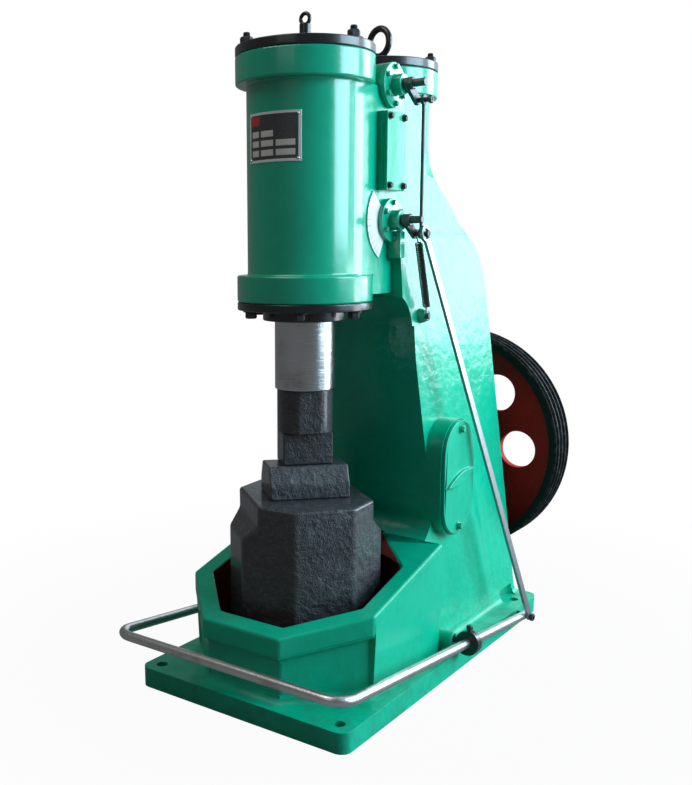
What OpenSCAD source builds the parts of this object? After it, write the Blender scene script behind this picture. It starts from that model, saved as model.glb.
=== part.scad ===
// Pneumatic power forging hammer: one-piece frame with anvil well, twin cylinders, treadle and pulley.
// Units are millimetres, Z is up, the origin is the middle of the base plate's underside.
// +X is the lever side, -Y is the front where the smith stands.

/* [Base plate] */
// Width of the base plate across the machine
base_w = 480; // [400:5:600]
// Length of the base plate front to back
base_l = 860; // [700:5:1000]
// Thickness of the base plate
base_t = 40; // [25:1:60]
// Radius of the vertical corners of the base plate
base_corner_r = 22; // [8:1:50]
// Diameter of a foundation bolt hole
foundation_d = 22; // [16:1:30]
// Distance of a foundation bolt hole from both plate edges
foundation_inset = 31; // [26:1:50]
// Distance of a rear foundation bolt hole from the back edge
foundation_back = 70; // [60:1:90]

/* [Anvil well] */
// Distance of the ram axis behind the front edge of the plate
ram_setback = 229; // [215:1:300]
// Across flats of the octagonal lip
lip_af = 426; // [380:2:460]
// Across flats of the well wall below the lip
wall_af = 404; // [370:2:440]
// Across flats of the well inside
well_af = 352; // [320:2:368]
// Height of the rim above the floor at the ram axis
rim_h = 226; // [190:1:260]
// Rise of the rim towards the back
rim_tilt = 15; // [0:0.5:20]
// Height of the lip band
lip_h = 40; // [20:1:60]

/* [Anvil and dies] */
// Across flats of the anvil block
anvil_af = 280; // [240:2:300]
// Height of the anvil's vertical sides above the floor
anvil_side_h = 313; // [280:1:330]
// Height of the taper above the anvil's sides
anvil_taper_h = 29; // [15:1:40]
// Height of the anvil's neck above the taper
anvil_neck_h = 40; // [25:1:50]
// Width of the anvil's neck across its two cut sides
neck_af = 228; // [200:2:260]
// Turn of the anvil in its well
anvil_turn = 5; // [-10:1:10]
// Turn of both dies about the ram axis
die_turn = 47; // [0:1:90]
// Length of the lower die
die_l = 156; // [100:1:170]
// Width of the lower die
die_w = 104; // [60:1:110]
// Height of the lower die above its seat on the anvil
die_h = 63; // [50:1:75]
// Height of the bevel that narrows the lower die's face
die_bevel = 34; // [8:1:40]
// Width of the lower die's working face
face_w = 70; // [40:1:80]
// Length of the upper die
upper_l = 98; // [80:1:140]
// Width of the upper die
upper_w = 64; // [50:1:100]
// Height of the upper die
upper_h = 62; // [40:1:80]
// Gap between the dies at rest
die_gap = 0.5; // [0.3:0.1:2]

/* [Ram] */
// Diameter of the ram
ram_d = 115; // [90:1:130]
// Diameter of the dark flatted foot of the ram
foot_d = 107; // [90:1:114]
// Length of the foot of the ram
foot_h = 84; // [60:1:110]
// Width across the flats of the ram foot
foot_flat = 98; // [80:1:105]
// Length of the ram hidden in the cylinder at rest
ram_hidden = 150; // [120:5:180]
// Radial running clearance of the ram in its gland
ram_clear = 0.08; // [0.02:0.01:0.1]

/* [Cylinders] */
// Outside diameter of both barrels
barrel_d = 216; // [190:2:240]
// Diameter of the work cylinder's flanges
flange_d = 256; // [240:2:290]
// Diameter of the compressor cylinder's flange
rear_flange_d = 248; // [230:2:280]
// Bore of the work cylinder
bore_d = 150; // [130:2:170]
// Distance from the work cylinder axis to the compressor cylinder axis
axis_gap = 253; // [252:1:280]
// Height of the underside of the lower flange above the floor
flange_low_z = 757; // [700:1:800]
// Thickness of the lower flange
flange_low_t = 50; // [30:1:60]
// Height of the underside of the upper flanges above the floor
flange_up_z = 1148; // [1050:1:1250]
// Thickness of the upper flanges
flange_up_t = 50; // [30:1:60]
// Thickness of the black caps
cap_t = 17; // [10:1:25]
// Thickness of the gland plate under the work cylinder
gland_plate_t = 15; // [8:1:25]
// Diameter of the gland ring
gland_d = 160; // [130:1:180]
// Height of the gland ring
gland_h = 20; // [10:1:30]

/* [Lifting eyes] */
// Outside diameter of the small eye on the front cap
small_eye_d = 26; // [20:1:40]
// Thickness of the small eye's ring
small_wire_d = 7; // [5:1:9]
// Height of the small eye's stem
small_stem_h = 40; // [10:1:50]
// Outside diameter of the large eye on the rear cap
large_eye_d = 66; // [50:1:80]
// Thickness of the large eye's ring
large_wire_d = 13; // [9:1:16]
// Height of the large eye's stem
large_stem_h = 22; // [8:1:30]
// Turn of the large eye
eye_turn = 13; // [0:1:90]
// Distance of the large eye behind the rear cylinder's axis
eye_back = 12; // [0:1:40]

/* [Column] */
// Distance of the column's foot inside the plate's edge
column_inset = 46; // [30:1:60]
// Half width of the column at its shoulder
column_shoulder_x = 126; // [115:1:150]
// Height of the shoulder above the floor
shoulder_z = 860; // [820:1:880]
// Height where the shoulder meets the chest
chest_z = 905; // [890:1:930]
// Distance of the column's front cheeks behind the ram axis above the throat
cheek_y = 138; // [132:1:150]
// Height of the compressor cylinder's lower end above the floor
rear_barrel_z = 940; // [920:1:960]
// Distance of the column's back foot behind the ram axis
back_foot_y = 612; // [560:1:620]
// Distance of the column's back behind the ram axis where it starts to curve
back_knee_y = 522; // [490:1:540]
// Height of that curve's start above the floor
back_knee_z = 739; // [700:1:780]
// Radius of the column's rounded back shoulder
bulge_r = 252; // [220:1:280]
// Radius of the flare from the shoulder up to the compressor cylinder
flare_r = 165; // [140:1:180]
// Height where the shoulder starts to round towards the compressor cylinder
round_z = 840; // [820:1:860]
// Radius of the shoulder's rounding at its lower end
round_r = 270; // [250:1:300]
// Diameter of the pocket round each rear foundation bolt
pocket_d = 76; // [60:1:90]
// Height of that pocket above the plate
pocket_h = 26; // [15:1:40]
// Distance of the throat's wall behind the ram axis at the top
throat_top_y = 170; // [160:1:180]
// Distance of the throat's wall behind the ram axis at the bottom
throat_low_y = 212; // [200:1:230]
// Height above the floor where the throat's wall curves into the well
throat_low_z = 340; // [320:1:380]
// Rise of the throat's ceiling above the cylinder's lower flange
ceiling_rise = 13; // [8:1:20]
// Radius of the curve under the cylinder
throat_top_r = 66; // [40:1:75]
// Radius of the curve into the well
throat_low_r = 70; // [40:1:90]
// Gap left round the cylinders where they sit in the column
seat_gap = 0.1; // [0.05:0.05:0.3]
// Distance of the column's front behind the ram axis below the throat
column_front_y = 178; // [176:1:190]

/* [Inspection cover] */
// Width of the oval inspection boss
oval_w = 140; // [90:1:150]
// Height of the oval inspection boss
oval_h = 244; // [200:1:280]
// Distance of the inspection cover behind the ram axis
oval_y = 272; // [265:1:340]
// Height of the middle of the inspection cover
oval_z = 388; // [330:1:420]
// How far the boss face stands out from the column's side at its middle
oval_out = 28.7; // [20:0.1:40]
// Thickness of the cover
oval_cover_t = 8; // [5:1:15]
// Length of the raised handle rib on the cover
rib_l = 122; // [90:1:130]
// Width of the handle rib at its middle
rib_w = 24; // [14:1:34]
// Height of the handle rib
rib_h = 7; // [4:1:12]
// Tilt of the handle rib, back end up
rib_tilt = 11; // [0:1:30]

/* [Valves] */
// Height of the upper valve shaft above the floor
upper_valve_z = 1152; // [1130:1:1160]
// Height of the lower valve shaft above the floor
lower_valve_z = 907; // [880:1:940]
// Distance of both valve shafts behind the ram axis
valve_y = 120; // [115:1:130]
// Diameter of a valve flange
valve_flange_d = 82; // [70:1:90]
// Thickness of a valve flange
valve_flange_t = 12; // [8:1:20]
// Diameter of a valve hub
valve_hub_d = 38; // [28:1:48]
// Length of a valve hub
valve_hub_l = 20; // [12:1:30]
// Diameter of a valve shaft
valve_shaft_d = 14; // [10:1:20]
// Radial running clearance of the small pins and shafts
pin_clear = 0.06; // [0.02:0.01:0.1]
// Length of a valve lever between its holes
lever_l = 45; // [35:1:60]
// Angle of the levers below the horizontal
lever_drop = 35; // [10:1:60]
// Thickness of a lever
lever_t = 8; // [5:1:12]
// Width of a lever
lever_w = 18; // [14:1:24]
// Diameter of a lever pin
pin_d = 9; // [6:1:12]
// Diameter of the link rod between the levers
link_d = 7; // [5:1:10]
// Length of a valve shaft's end outside its lever
shaft_out = 33; // [10:1:40]
// Diameter of the white dial plate
dial_d = 156; // [120:1:160]
// Thickness of the dial plate
dial_t = 2.5; // [1:0.5:5]
// Width of the rectangular cover plate
plate_w = 70; // [50:1:76]
// Height of the rectangular cover plate
plate_h = 142; // [100:1:144]
// Height of the middle of the cover plate above the floor
plate_z = 1032; // [1028:1:1038]
// Distance of the middle of the cover plate behind the ram axis
plate_y = 113; // [108:1:120]
// Height of the boss under the cover plate
plate_boss = 13; // [6:1:20]
// Thickness of the cover plate
plate_t = 8; // [4:1:12]
// Width of the stop block under the lower valve
stop_w = 18; // [10:1:24]
// Height of the stop block
stop_h = 30; // [20:1:36]
// How far the stop block stands from the chest
stop_out = 28; // [15:1:30]

/* [Label] */
// Width of the plain label plate on the work cylinder
label_w = 112; // [60:1:130]
// Height of the label plate
label_h = 86; // [50:1:100]
// Height of the label plate's lower edge above the floor
label_z = 1007; // [900:1:1040]
// Thickness of the label plate
label_t = 1; // [0.5:0.1:3]

/* [Treadle] */
// Diameter of the treadle pipe
pipe_d = 19; // [15:1:26]
// Distance of the treadle pipe's middle outside the plate's edge
treadle_out = 22; // [20:1:40]
// Distance of the front bar before the ram axis
treadle_front = 272; // [260:1:300]
// Distance of the treadle pivot behind the ram axis
treadle_pivot_y = 205; // [180:1:240]
// Height of the treadle pivot above the floor
treadle_pivot_z = 66; // [60:1:90]
// Length of the treadle behind its pivot
treadle_rear = 290; // [260:1:340]
// Slope of the treadle, front up
treadle_slope = 6.4; // [3:0.1:9]
// Radius of the front bends of the pipe
bend_r = 40; // [30:1:70]
// Diameter of the treadle pivot pin
pivot_d = 14; // [10:1:18]
// Width of a treadle bearing lug
bearing_w = 40; // [30:1:44]
// How far the middle of a lug's round top lies below the pin
lug_drop = 6; // [0:1:8]
// Gap between a bearing lug and the collar on the pipe
bearing_gap = 6; // [5:0.5:10]
// Length of a pivot pin inside its lug
pin_in = 26; // [15:1:32]
// Diameter of the clamp collar on the treadle pipe
collar_d = 50; // [40:1:56]
// Length of the clamp collar along the pipe
collar_t = 17; // [16:1:24]
// Width of the flat pull bar
bar_w = 16; // [10:1:24]
// Thickness of the flat pull bar
bar_t = 6; // [4:1:10]
// Clearance of the pull bar's upper eye around the lever pin
eye_clear = 6; // [4:0.5:8]

/* [Spring] */
// Outside diameter of the return spring
spring_d = 16; // [10:1:22]
// Distance of the spring stud behind the ram axis
stud_y = 206; // [190:1:230]
// Height of the spring stud above the floor
stud_z = 722; // [690:1:760]
// Diameter of the spring stud
stud_d = 12; // [8:1:18]

/* [Pulley] */
// Diameter of the pulley
pulley_d = 544; // [480:2:600]
// Width of the pulley
pulley_w = 80; // [50:1:90]
// Distance of the pulley's front face behind the ram axis
pulley_y = 628; // [620:1:660]
// Height of the pulley axis above the floor
pulley_z = 386; // [350:1:420]
// Depth of the pulley rim
rim_depth = 20; // [20:1:50]
// Thickness of the pulley web
web_t = 20; // [12:1:30]
// Diameter of the round holes in the web
web_hole_d = 88; // [60:1:110]
// Distance of the web holes from the pulley axis
web_hole_r = 165; // [130:1:200]
// Number of round holes in the web
web_holes = 7; // [4:1:8]
// Turn of the web holes at rest
web_turn = -3; // [-30:1:30]
// Number of belt grooves
grooves = 4; // [3:1:5]
// Depth of a belt groove
groove_depth = 12; // [6:1:16]
// Diameter of the pulley hub
hub_d = 130; // [90:1:160]
// Diameter of the pulley shaft
shaft_d = 55; // [40:1:70]
// Diameter of the shaft bearing housing on the column's back
housing_d = 150; // [120:1:180]
// Gap between the shaft housing and the pulley
housing_gap = 8; // [5:1:12]
// Depth of the shaft's seat in the housing
seat_l = 22; // [10:1:40]

/* [Hidden] */
$fn = 96;
ram_y = ram_setback - base_l / 2;
cut = 900;
oct = 1 / cos(22.5);
cap_z = flange_up_z + flange_up_t;
gland_plate_z = flange_low_z - gland_plate_t;
gland_z = gland_plate_z - gland_h;
column_foot_x = base_w / 2 - column_inset;
treadle_x = base_w / 2 + treadle_out;
lug_x = treadle_x - collar_d / 2 - bearing_gap;
anvil_taper_z = anvil_side_h + anvil_taper_h;
anvil_top_h = anvil_taper_z + anvil_neck_h;
die_top_h = anvil_top_h + die_h;
ceiling = flange_low_z + ceiling_rise;
neck_turn = 135;
shoulder_drop = anvil_taper_h * anvil_af / (anvil_af - neck_af);
chest_x = barrel_d / 2;
oval_face_x = column_side_x(oval_z) + oval_out;
upper_z = die_top_h + die_gap;
foot_z = upper_z + upper_h;
rod_z = foot_z + foot_h;
rod_top = flange_low_z + ram_hidden;
back_dir = atan2(back_foot_y - back_knee_y, back_knee_z - base_t);
side_gap = 1;
link_gap = 2;
bar_gap = 3;
link_t = 6;
eye_t = 4;
hole_y = base_l / 2 - foundation_back;
lever_x = chest_x + valve_flange_t + valve_hub_l + link_gap;
spring_x = lever_x + lever_t + side_gap;
link_x = spring_x + eye_t + link_gap;
lever_y = ram_y + valve_y + lever_l * cos(lever_drop);
lower_pin_z = lower_valve_z - lever_l * sin(lever_drop);
upper_pin_z = upper_valve_z - lever_l * sin(lever_drop);
pivot_y = ram_y + treadle_pivot_y;
rear_y = pivot_y + treadle_rear * cos(treadle_slope);
rear_z = treadle_pivot_z - treadle_rear * sin(treadle_slope);
front_reach = (treadle_pivot_y + treadle_front) / cos(treadle_slope);
shaft_seat = 4;
shaft_in = lever_x - chest_x - shaft_seat;
eye_d = pin_d + 2 * eye_clear;
bar_low_x = treadle_x + pipe_d / 2 + side_gap;
bar_high_x = link_x + link_t + bar_gap;
pin_l = bar_high_x + 2 * bar_t - lever_x;
chest_front_y = barrel_d / 9;
bar_lean = atan2(rear_y - lever_y, lower_pin_z - rear_z);
bar_rise = norm([rear_y - lever_y, lower_pin_z - rear_z]);
bar_tilt = atan2(bar_low_x - bar_high_x, bar_rise);
bar_len = norm([bar_low_x - bar_high_x, bar_rise]);
spring_run = [ram_y + stud_y - lever_y, lower_pin_z - stud_z];
spring_lean = atan2(spring_run[0], spring_run[1]);
spring_len = norm(spring_run);
spring_end = 18;
stud_x = column_side_x(stud_z - stud_d / 2) + seat_gap;
groove_pitch = pulley_w / grooves;

// Draws a 2D side profile given in Y and Z as a slab across the machine.
module across(half) {
    rotate([90, 0, 90])
        translate([0, 0, -half])
            linear_extrude(height = 2 * half)
                children();
}

// An upright octagonal prism with flats to the front and sides.
module octagon(af, h) {
    rotate([0, 0, 22.5])
        cylinder(d = af * oct, h = h, $fn = 8);
}

// Everything under the tilted rim, lowered by drop.
module under_rim(drop) {
    translate([0, 0, rim_h - drop])
        rotate([rim_tilt, 0, 0])
            translate([-cut, -cut, -2 * cut])
                cube([2 * cut, 2 * cut, 2 * cut]);
}

module base_plate() {
    color("seagreen")
        difference() {
            linear_extrude(height = base_t)
                plate_outline();
            for (sx = [-1, 1])
                for (y = [foundation_inset - base_l / 2, hole_y])
                    translate([sx * (base_w / 2 - foundation_inset), y, -1])
                        cylinder(d = foundation_d, h = base_t + 2);
        }
}

module plate_outline() {
    square([base_w - 2 * base_corner_r, base_l], center = true);
    square([base_w, base_l - 2 * base_corner_r], center = true);
    for (sx = [-1, 1])
        for (sy = [-1, 1])
            translate([sx * (base_w / 2 - base_corner_r), sy * (base_l / 2 - base_corner_r)])
                circle(r = base_corner_r);
}

module anvil_well() {
    color("seagreen")
        translate([0, ram_y, 0])
            difference() {
                union() {
                    intersection() {
                        well_plan(wall_af);
                        under_rim(lip_h / 2);
                    }
                    intersection() {
                        well_plan(lip_af);
                        difference() {
                            under_rim(0);
                            under_rim(lip_h);
                        }
                    }
                }
                translate([0, 0, base_t - 1])
                    octagon(well_af, cut);
            }
}

// Octagon in front, straight sides back to the column.
module well_plan(af) {
    intersection() {
        union() {
            translate([0, 0, base_t])
                octagon(af, cut);
            translate([-af / 2, 0, base_t])
                cube([af, column_front_y, cut]);
        }
        translate([-cut, -cut, 0])
            cube([2 * cut, cut + column_front_y, cut]);
    }
}

// Side outline of the column; Y runs from the ram axis to the back.
module column_side() {
    knee_n = [cos(back_dir), sin(back_dir)];
    flare_y = axis_gap + barrel_d / 2 + flare_r;
    bulge = [back_knee_y - bulge_r * knee_n[0], back_knee_z - bulge_r * knee_n[1]];
    flare_z = bulge[1] + sqrt(pow(flare_r + bulge_r, 2) - pow(flare_y - bulge[0], 2));
    mid = [flare_y, flare_z] + (bulge - [flare_y, flare_z]) * flare_r / (flare_r + bulge_r);
    difference() {
        union() {
            polygon([
                [column_front_y, base_t],
                [back_foot_y, base_t],
                [back_knee_y, back_knee_z],
                [bulge[0], back_knee_z],
                [bulge[0], mid[1]],
                [mid[0], mid[1]],
                [axis_gap + barrel_d / 2 + 2, flare_z - flare_r / 6],
                [axis_gap, flare_z - flare_r / 6],
                [axis_gap, flange_up_z],
                [cheek_y, flange_up_z],
                [cheek_y, ceiling - throat_top_r],
                [column_front_y, ceiling - throat_top_r]
            ]);
            intersection() {
                translate(bulge)
                    circle(r = bulge_r);
                translate([bulge[0], bulge[1]])
                    square([bulge_r + 1, mid[1] - bulge[1]]);
            }
        }
        translate([flare_y, flare_z])
            circle(r = flare_r);
        throat_side();
    }
}

// Open throat between the cylinder and the well.
module throat_side() {
    top = [throat_top_y - throat_top_r, ceiling - throat_top_r];
    lean = atan2(throat_low_y - throat_top_y, ceiling - throat_top_r - throat_low_z);
    low = [throat_low_y - throat_low_r * cos(lean), throat_low_z - throat_low_r * sin(lean)];
    polygon([
        [-cut, ceiling],
        [top[0], ceiling],
        [top[0] + throat_top_r * cos(lean), top[1] + throat_top_r * sin(lean)],
        [low[0] + throat_low_r * cos(lean), low[1] + throat_low_r * sin(lean)],
        [low[0], low[1] - throat_low_r * 0.98],
        [-cut, low[1] - throat_low_r * 0.98]
    ]);
    translate(top)
        circle(r = throat_top_r);
    translate(low)
        circle(r = throat_low_r);
}

// Front outline of the column; the sides draw in towards the top.
module column_front() {
    polygon([
        [-column_foot_x, 0],
        [column_foot_x, 0],
        [column_shoulder_x, shoulder_z],
        [chest_x, chest_z],
        [chest_x, flange_up_z],
        [-chest_x, flange_up_z],
        [-chest_x, chest_z],
        [-column_shoulder_x, shoulder_z]
    ]);
}

module column() {
    color("seagreen")
        translate([0, ram_y, 0])
            difference() {
                union() {
                    intersection() {
                        across(column_foot_x)
                            column_side();
                        translate([0, cut, 0])
                            rotate([90, 0, 0])
                                linear_extrude(height = 2 * cut)
                                    column_front();
                    }
                    translate([-chest_x, chest_front_y, ceiling])
                        cube([2 * chest_x, cheek_y - chest_front_y + 1, flange_up_z - ceiling]);
                    oval_boss(oval_w, oval_h, 0, oval_face_x);
                    translate([0, valve_y, upper_valve_z])
                        rotate([0, 90, 0])
                            cylinder(d = valve_flange_d, h = chest_x);
                    translate([0, plate_y - plate_w / 2, plate_z - plate_h / 2])
                        cube([chest_x + plate_boss, plate_w, plate_h]);
                }
                shoulder_round();
                cylinder_seats();
                translate([chest_x, valve_y, lower_valve_z])
                    rotate([0, 90, 0])
                        cylinder(d = valve_flange_d + 2 * seat_gap, h = cut);
                for (s = [-1, 1])
                    translate([s * (base_w / 2 - foundation_inset), hole_y - ram_y, base_t - 1])
                        cylinder(d = pocket_d, h = pocket_h + 1);
            }
}

// Takes the corners off the shoulder so that it runs round into the compressor cylinder.
module shoulder_round() {
    translate([0, axis_gap, round_z])
        difference() {
            translate([-cut, 0, 0])
                cube([2 * cut, cut, cut]);
            cylinder(r1 = round_r, r2 = barrel_d / 2, h = round_r - barrel_d / 2);
        }
}

// Room for both cylinders and their flanges.
module cylinder_seats() {
    translate([0, 0, flange_low_z - 1])
        cylinder(d = barrel_d + 2 * seat_gap, h = cut);
    translate([0, 0, flange_low_z - 1])
        cylinder(d = flange_d + 2 * seat_gap, h = flange_low_t + 1 + seat_gap);
    translate([0, axis_gap, rear_barrel_z])
        cylinder(d = barrel_d + 2 * seat_gap, h = cut);
    translate([0, 0, flange_up_z])
        cylinder(d = flange_d + 2 * seat_gap, h = cut);
    translate([0, axis_gap, flange_up_z])
        cylinder(d = rear_flange_d + 2 * seat_gap, h = cut);
}

// Upright stadium block from the machine's middle region out to face.
module oval_boss(w, h, from, face) {
    translate([from, oval_y, oval_z])
        rotate([90, 0, 90])
            linear_extrude(height = face - from)
                stadium(w, h);
}

module stadium(w, h) {
    square([w, h - w], center = true);
    for (s = [-1, 1])
        translate([0, s * (h - w) / 2])
            circle(d = w);
}

module work_cylinder() {
    color("seagreen")
        translate([0, ram_y, 0])
            difference() {
                union() {
                    translate([0, 0, flange_low_z])
                        cylinder(d = barrel_d, h = cap_z - flange_low_z);
                    translate([0, 0, flange_low_z])
                        cylinder(d = flange_d, h = flange_low_t);
                    translate([0, 0, flange_up_z])
                        cylinder(d = flange_d, h = flange_up_t);
                }
                translate([0, 0, flange_low_z - 1])
                    cylinder(d = bore_d, h = cap_z - flange_low_z + 2);
            }
}

module compressor_cylinder() {
    color("seagreen")
        translate([0, ram_y + axis_gap, 0])
            union() {
                translate([0, 0, rear_barrel_z])
                    cylinder(d = barrel_d, h = cap_z - rear_barrel_z);
                translate([0, 0, flange_up_z])
                    cylinder(d = rear_flange_d, h = flange_up_t);
            }
}

module front_cap() {
    color("black")
        translate([0, ram_y, cap_z])
            cylinder(d = flange_d, h = cap_t);
}

module rear_cap() {
    color("black")
        translate([0, ram_y + axis_gap, cap_z])
            cylinder(d = rear_flange_d, h = cap_t);
}

module gland_plate() {
    color("black")
        translate([0, ram_y, gland_plate_z])
            difference() {
                cylinder(d = flange_d, h = gland_plate_t);
                translate([0, 0, -1])
                    cylinder(d = ram_d + 2 * ram_clear, h = gland_plate_t + 2);
            }
}

module gland_ring() {
    color("black")
        translate([0, ram_y, gland_z])
            difference() {
                cylinder(d = gland_d, h = gland_h);
                translate([0, 0, -1])
                    cylinder(d = ram_d + 2 * ram_clear, h = gland_h + 2);
            }
}

// Lifting eye: a stem with a standing ring.
module eyebolt(stem_d, stem_h, ring_d, wire_d) {
    cylinder(d = stem_d, h = stem_h);
    translate([0, 0, stem_h + ring_d / 2 - wire_d / 2])
        rotate([90, 0, 0])
            rotate_extrude()
                translate([ring_d / 2 - wire_d / 2, 0])
                    circle(d = wire_d);
}

module front_eyebolt() {
    color("black")
        translate([0, ram_y, cap_z + cap_t])
            eyebolt(3 * small_wire_d, small_stem_h, small_eye_d, small_wire_d);
}

module rear_eyebolt() {
    color("black")
        translate([0, ram_y + axis_gap + eye_back, cap_z + cap_t])
            rotate([0, 0, -eye_turn])
                eyebolt(2.6 * large_wire_d, large_stem_h, large_eye_d, large_wire_d);
}

module nameplate() {
    color("firebrick")
        translate([0, ram_y, label_z])
            intersection() {
                translate([-label_w / 2, -barrel_d, 0])
                    cube([label_w, barrel_d, label_h]);
                difference() {
                    translate([0, 0, -1])
                        cylinder(d = barrel_d + 2 * label_t, h = label_h + 2);
                    translate([0, 0, -2])
                        cylinder(d = barrel_d + 2 * seat_gap, h = label_h + 4);
                }
            }
}

module cover_plate() {
    color("seagreen")
        translate([chest_x + plate_boss, ram_y + plate_y - plate_w / 2, plate_z - plate_h / 2])
            cube([plate_t, plate_w, plate_h]);
}

module dial_plate() {
    color("white")
        translate([chest_x, ram_y + valve_y, lower_valve_z])
            rotate([90, 0, 90])
                linear_extrude(height = dial_t)
                    difference() {
                        intersection() {
                            circle(d = dial_d);
                            polygon([
                                [0, 0],
                                [-dial_d, dial_d * 0.9],
                                [-dial_d, -dial_d],
                                [-dial_d / 2, -dial_d]
                            ]);
                        }
                        circle(d = valve_flange_d + 2 * seat_gap);
                    }
}

// Valve flange and hub with a running bore for its shaft.
module valve(z) {
    translate([chest_x, ram_y + valve_y, z])
        rotate([0, 90, 0])
            difference() {
                union() {
                    cylinder(d = valve_flange_d, h = valve_flange_t);
                    cylinder(d = valve_hub_d, h = valve_flange_t + valve_hub_l);
                }
                translate([0, 0, shaft_seat])
                    cylinder(d = valve_shaft_d + 2 * pin_clear, h = cut);
            }
}

module upper_valve() {
    color("seagreen")
        valve(upper_valve_z);
}

module lower_valve() {
    color("seagreen") {
        valve(lower_valve_z);
        translate([chest_x, ram_y + valve_y, lower_valve_z - valve_flange_d / 2 - stop_h])
            cube([stop_out, stop_w, stop_h + valve_flange_d / 4]);
    }
}

module inspection_cover() {
    color("seagreen")
        translate([0, ram_y, 0]) {
            oval_boss(oval_w - 6, oval_h - 6, oval_face_x, oval_face_x + oval_cover_t);
            translate([oval_face_x + oval_cover_t, oval_y, oval_z])
                rotate([90, 0, 90])
                    linear_extrude(height = rib_h)
                        rotate(rib_tilt)
                            leaf(rib_l, rib_w);
        }
}

// Leaf shape between two arcs.
module leaf(l, w) {
    r = (l * l + w * w) / (4 * w);
    intersection() {
        translate([0, r - w / 2])
            circle(r = r);
        translate([0, w / 2 - r])
            circle(r = r);
    }
}

module spring_stud() {
    color("dimgray")
        translate([stud_x, ram_y + stud_y, stud_z])
            rotate([0, 90, 0])
                cylinder(d = stud_d, h = link_x - stud_x);
}

// Half width of the column at height z below the shoulder.
function column_side_x(z) = column_foot_x + (column_shoulder_x - column_foot_x) * z / shoulder_z;

// Octagonal block with a shoulder on two opposite sides.
module anvil_block() {
    color("dimgray")
        translate([0, ram_y, 0])
            rotate([0, 0, anvil_turn])
                intersection() {
                    octagon(anvil_af, anvil_top_h);
                    rotate([0, 0, neck_turn])
                        across(cut)
                            polygon([
                                [-anvil_af, base_t],
                                [anvil_af, base_t],
                                [anvil_af, anvil_side_h - shoulder_drop],
                                [anvil_af / 2, anvil_side_h],
                                [neck_af / 2, anvil_taper_z],
                                [neck_af / 2, anvil_top_h],
                                [-neck_af / 2, anvil_top_h],
                                [-neck_af / 2, anvil_taper_z],
                                [-anvil_af / 2, anvil_side_h],
                                [-anvil_af, anvil_side_h - shoulder_drop]
                            ]);
                }
}

module lower_die() {
    color("dimgray")
        translate([0, ram_y, 0])
            rotate([90, 0, die_turn + 90])
                translate([0, 0, -die_l / 2])
                    linear_extrude(height = die_l)
                        polygon([
                            [-die_w / 2, anvil_top_h],
                            [die_w / 2, anvil_top_h],
                            [die_w / 2, die_top_h - die_bevel],
                            [face_w / 2, die_top_h],
                            [-face_w / 2, die_top_h],
                            [-die_w / 2, die_top_h - die_bevel]
                        ]);
}

module shaft_housing() {
    color("seagreen")
        translate([0, ram_y, 0])
            difference() {
                intersection() {
                    translate([0, pulley_y - housing_gap, pulley_z])
                        rotate([90, 0, 0])
                            cylinder(d = housing_d, h = pulley_y - back_knee_y);
                    translate([-cut, 0, 0])
                        behind_column();
                }
                translate([0, pulley_y, pulley_z])
                    rotate([90, 0, 0])
                        cylinder(d = shaft_d + 2 * pin_clear, h = housing_gap + seat_l + 1);
            }
}

// Space behind the column's straight back.
module behind_column() {
    rotate([90, 0, 90])
        linear_extrude(height = 2 * cut)
            polygon([
                [back_foot_y, base_t],
                [back_knee_y, back_knee_z],
                [cut, back_knee_z],
                [cut, base_t]
            ]);
}

// Lug on the plate beside the column that holds the treadle's pivot pin.
module bearing(side) {
    mirror([side > 0 ? 0 : 1, 0, 0])
        difference() {
            translate([0, pivot_y, treadle_pivot_z])
                rotate([90, 0, 90])
                    linear_extrude(height = lug_x) {
                        translate([0, -lug_drop])
                            circle(d = bearing_w);
                        translate([-bearing_w / 2, base_t - treadle_pivot_z])
                            square([bearing_w, treadle_pivot_z - lug_drop - base_t]);
                    }
            translate([seat_gap, cut, 0])
                rotate([90, 0, 0])
                    linear_extrude(height = 2 * cut)
                        column_front();
            translate([lug_x - pin_in, pivot_y, treadle_pivot_z])
                rotate([0, 90, 0])
                    cylinder(d = pivot_d + 2 * pin_clear, h = cut);
        }
}

module bearing_right() {
    color("seagreen")
        bearing(1);
}

module bearing_left() {
    color("seagreen")
        bearing(-1);
}

module ram_rod() {
    color("silver")
        translate([0, ram_y, rod_z])
            cylinder(d = ram_d, h = rod_top - rod_z);
}

module ram_foot() {
    color("dimgray")
        translate([0, ram_y, foot_z])
            intersection() {
                cylinder(d = foot_d, h = foot_h);
                rotate([0, 0, die_turn])
                    translate([-cut, -foot_flat / 2, 0])
                        cube([2 * cut, foot_flat, foot_h]);
            }
}

module upper_die() {
    color("dimgray")
        translate([0, ram_y, upper_z])
            rotate([0, 0, die_turn])
                translate([-upper_l / 2, -upper_w / 2, 0])
                    cube([upper_l, upper_w, upper_h]);
}

module pulley() {
    color("darkred")
        translate([0, ram_y + pulley_y, pulley_z])
            rotate([-90, 0, 0])
                difference() {
                    rotate_extrude()
                        pulley_section();
                    for (i = [0 : web_holes - 1])
                        rotate([0, 0, i * 360 / web_holes - web_turn])
                            translate([web_hole_r, 0, -1])
                                cylinder(d = web_hole_d, h = pulley_w + 2);
                }
}

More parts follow.
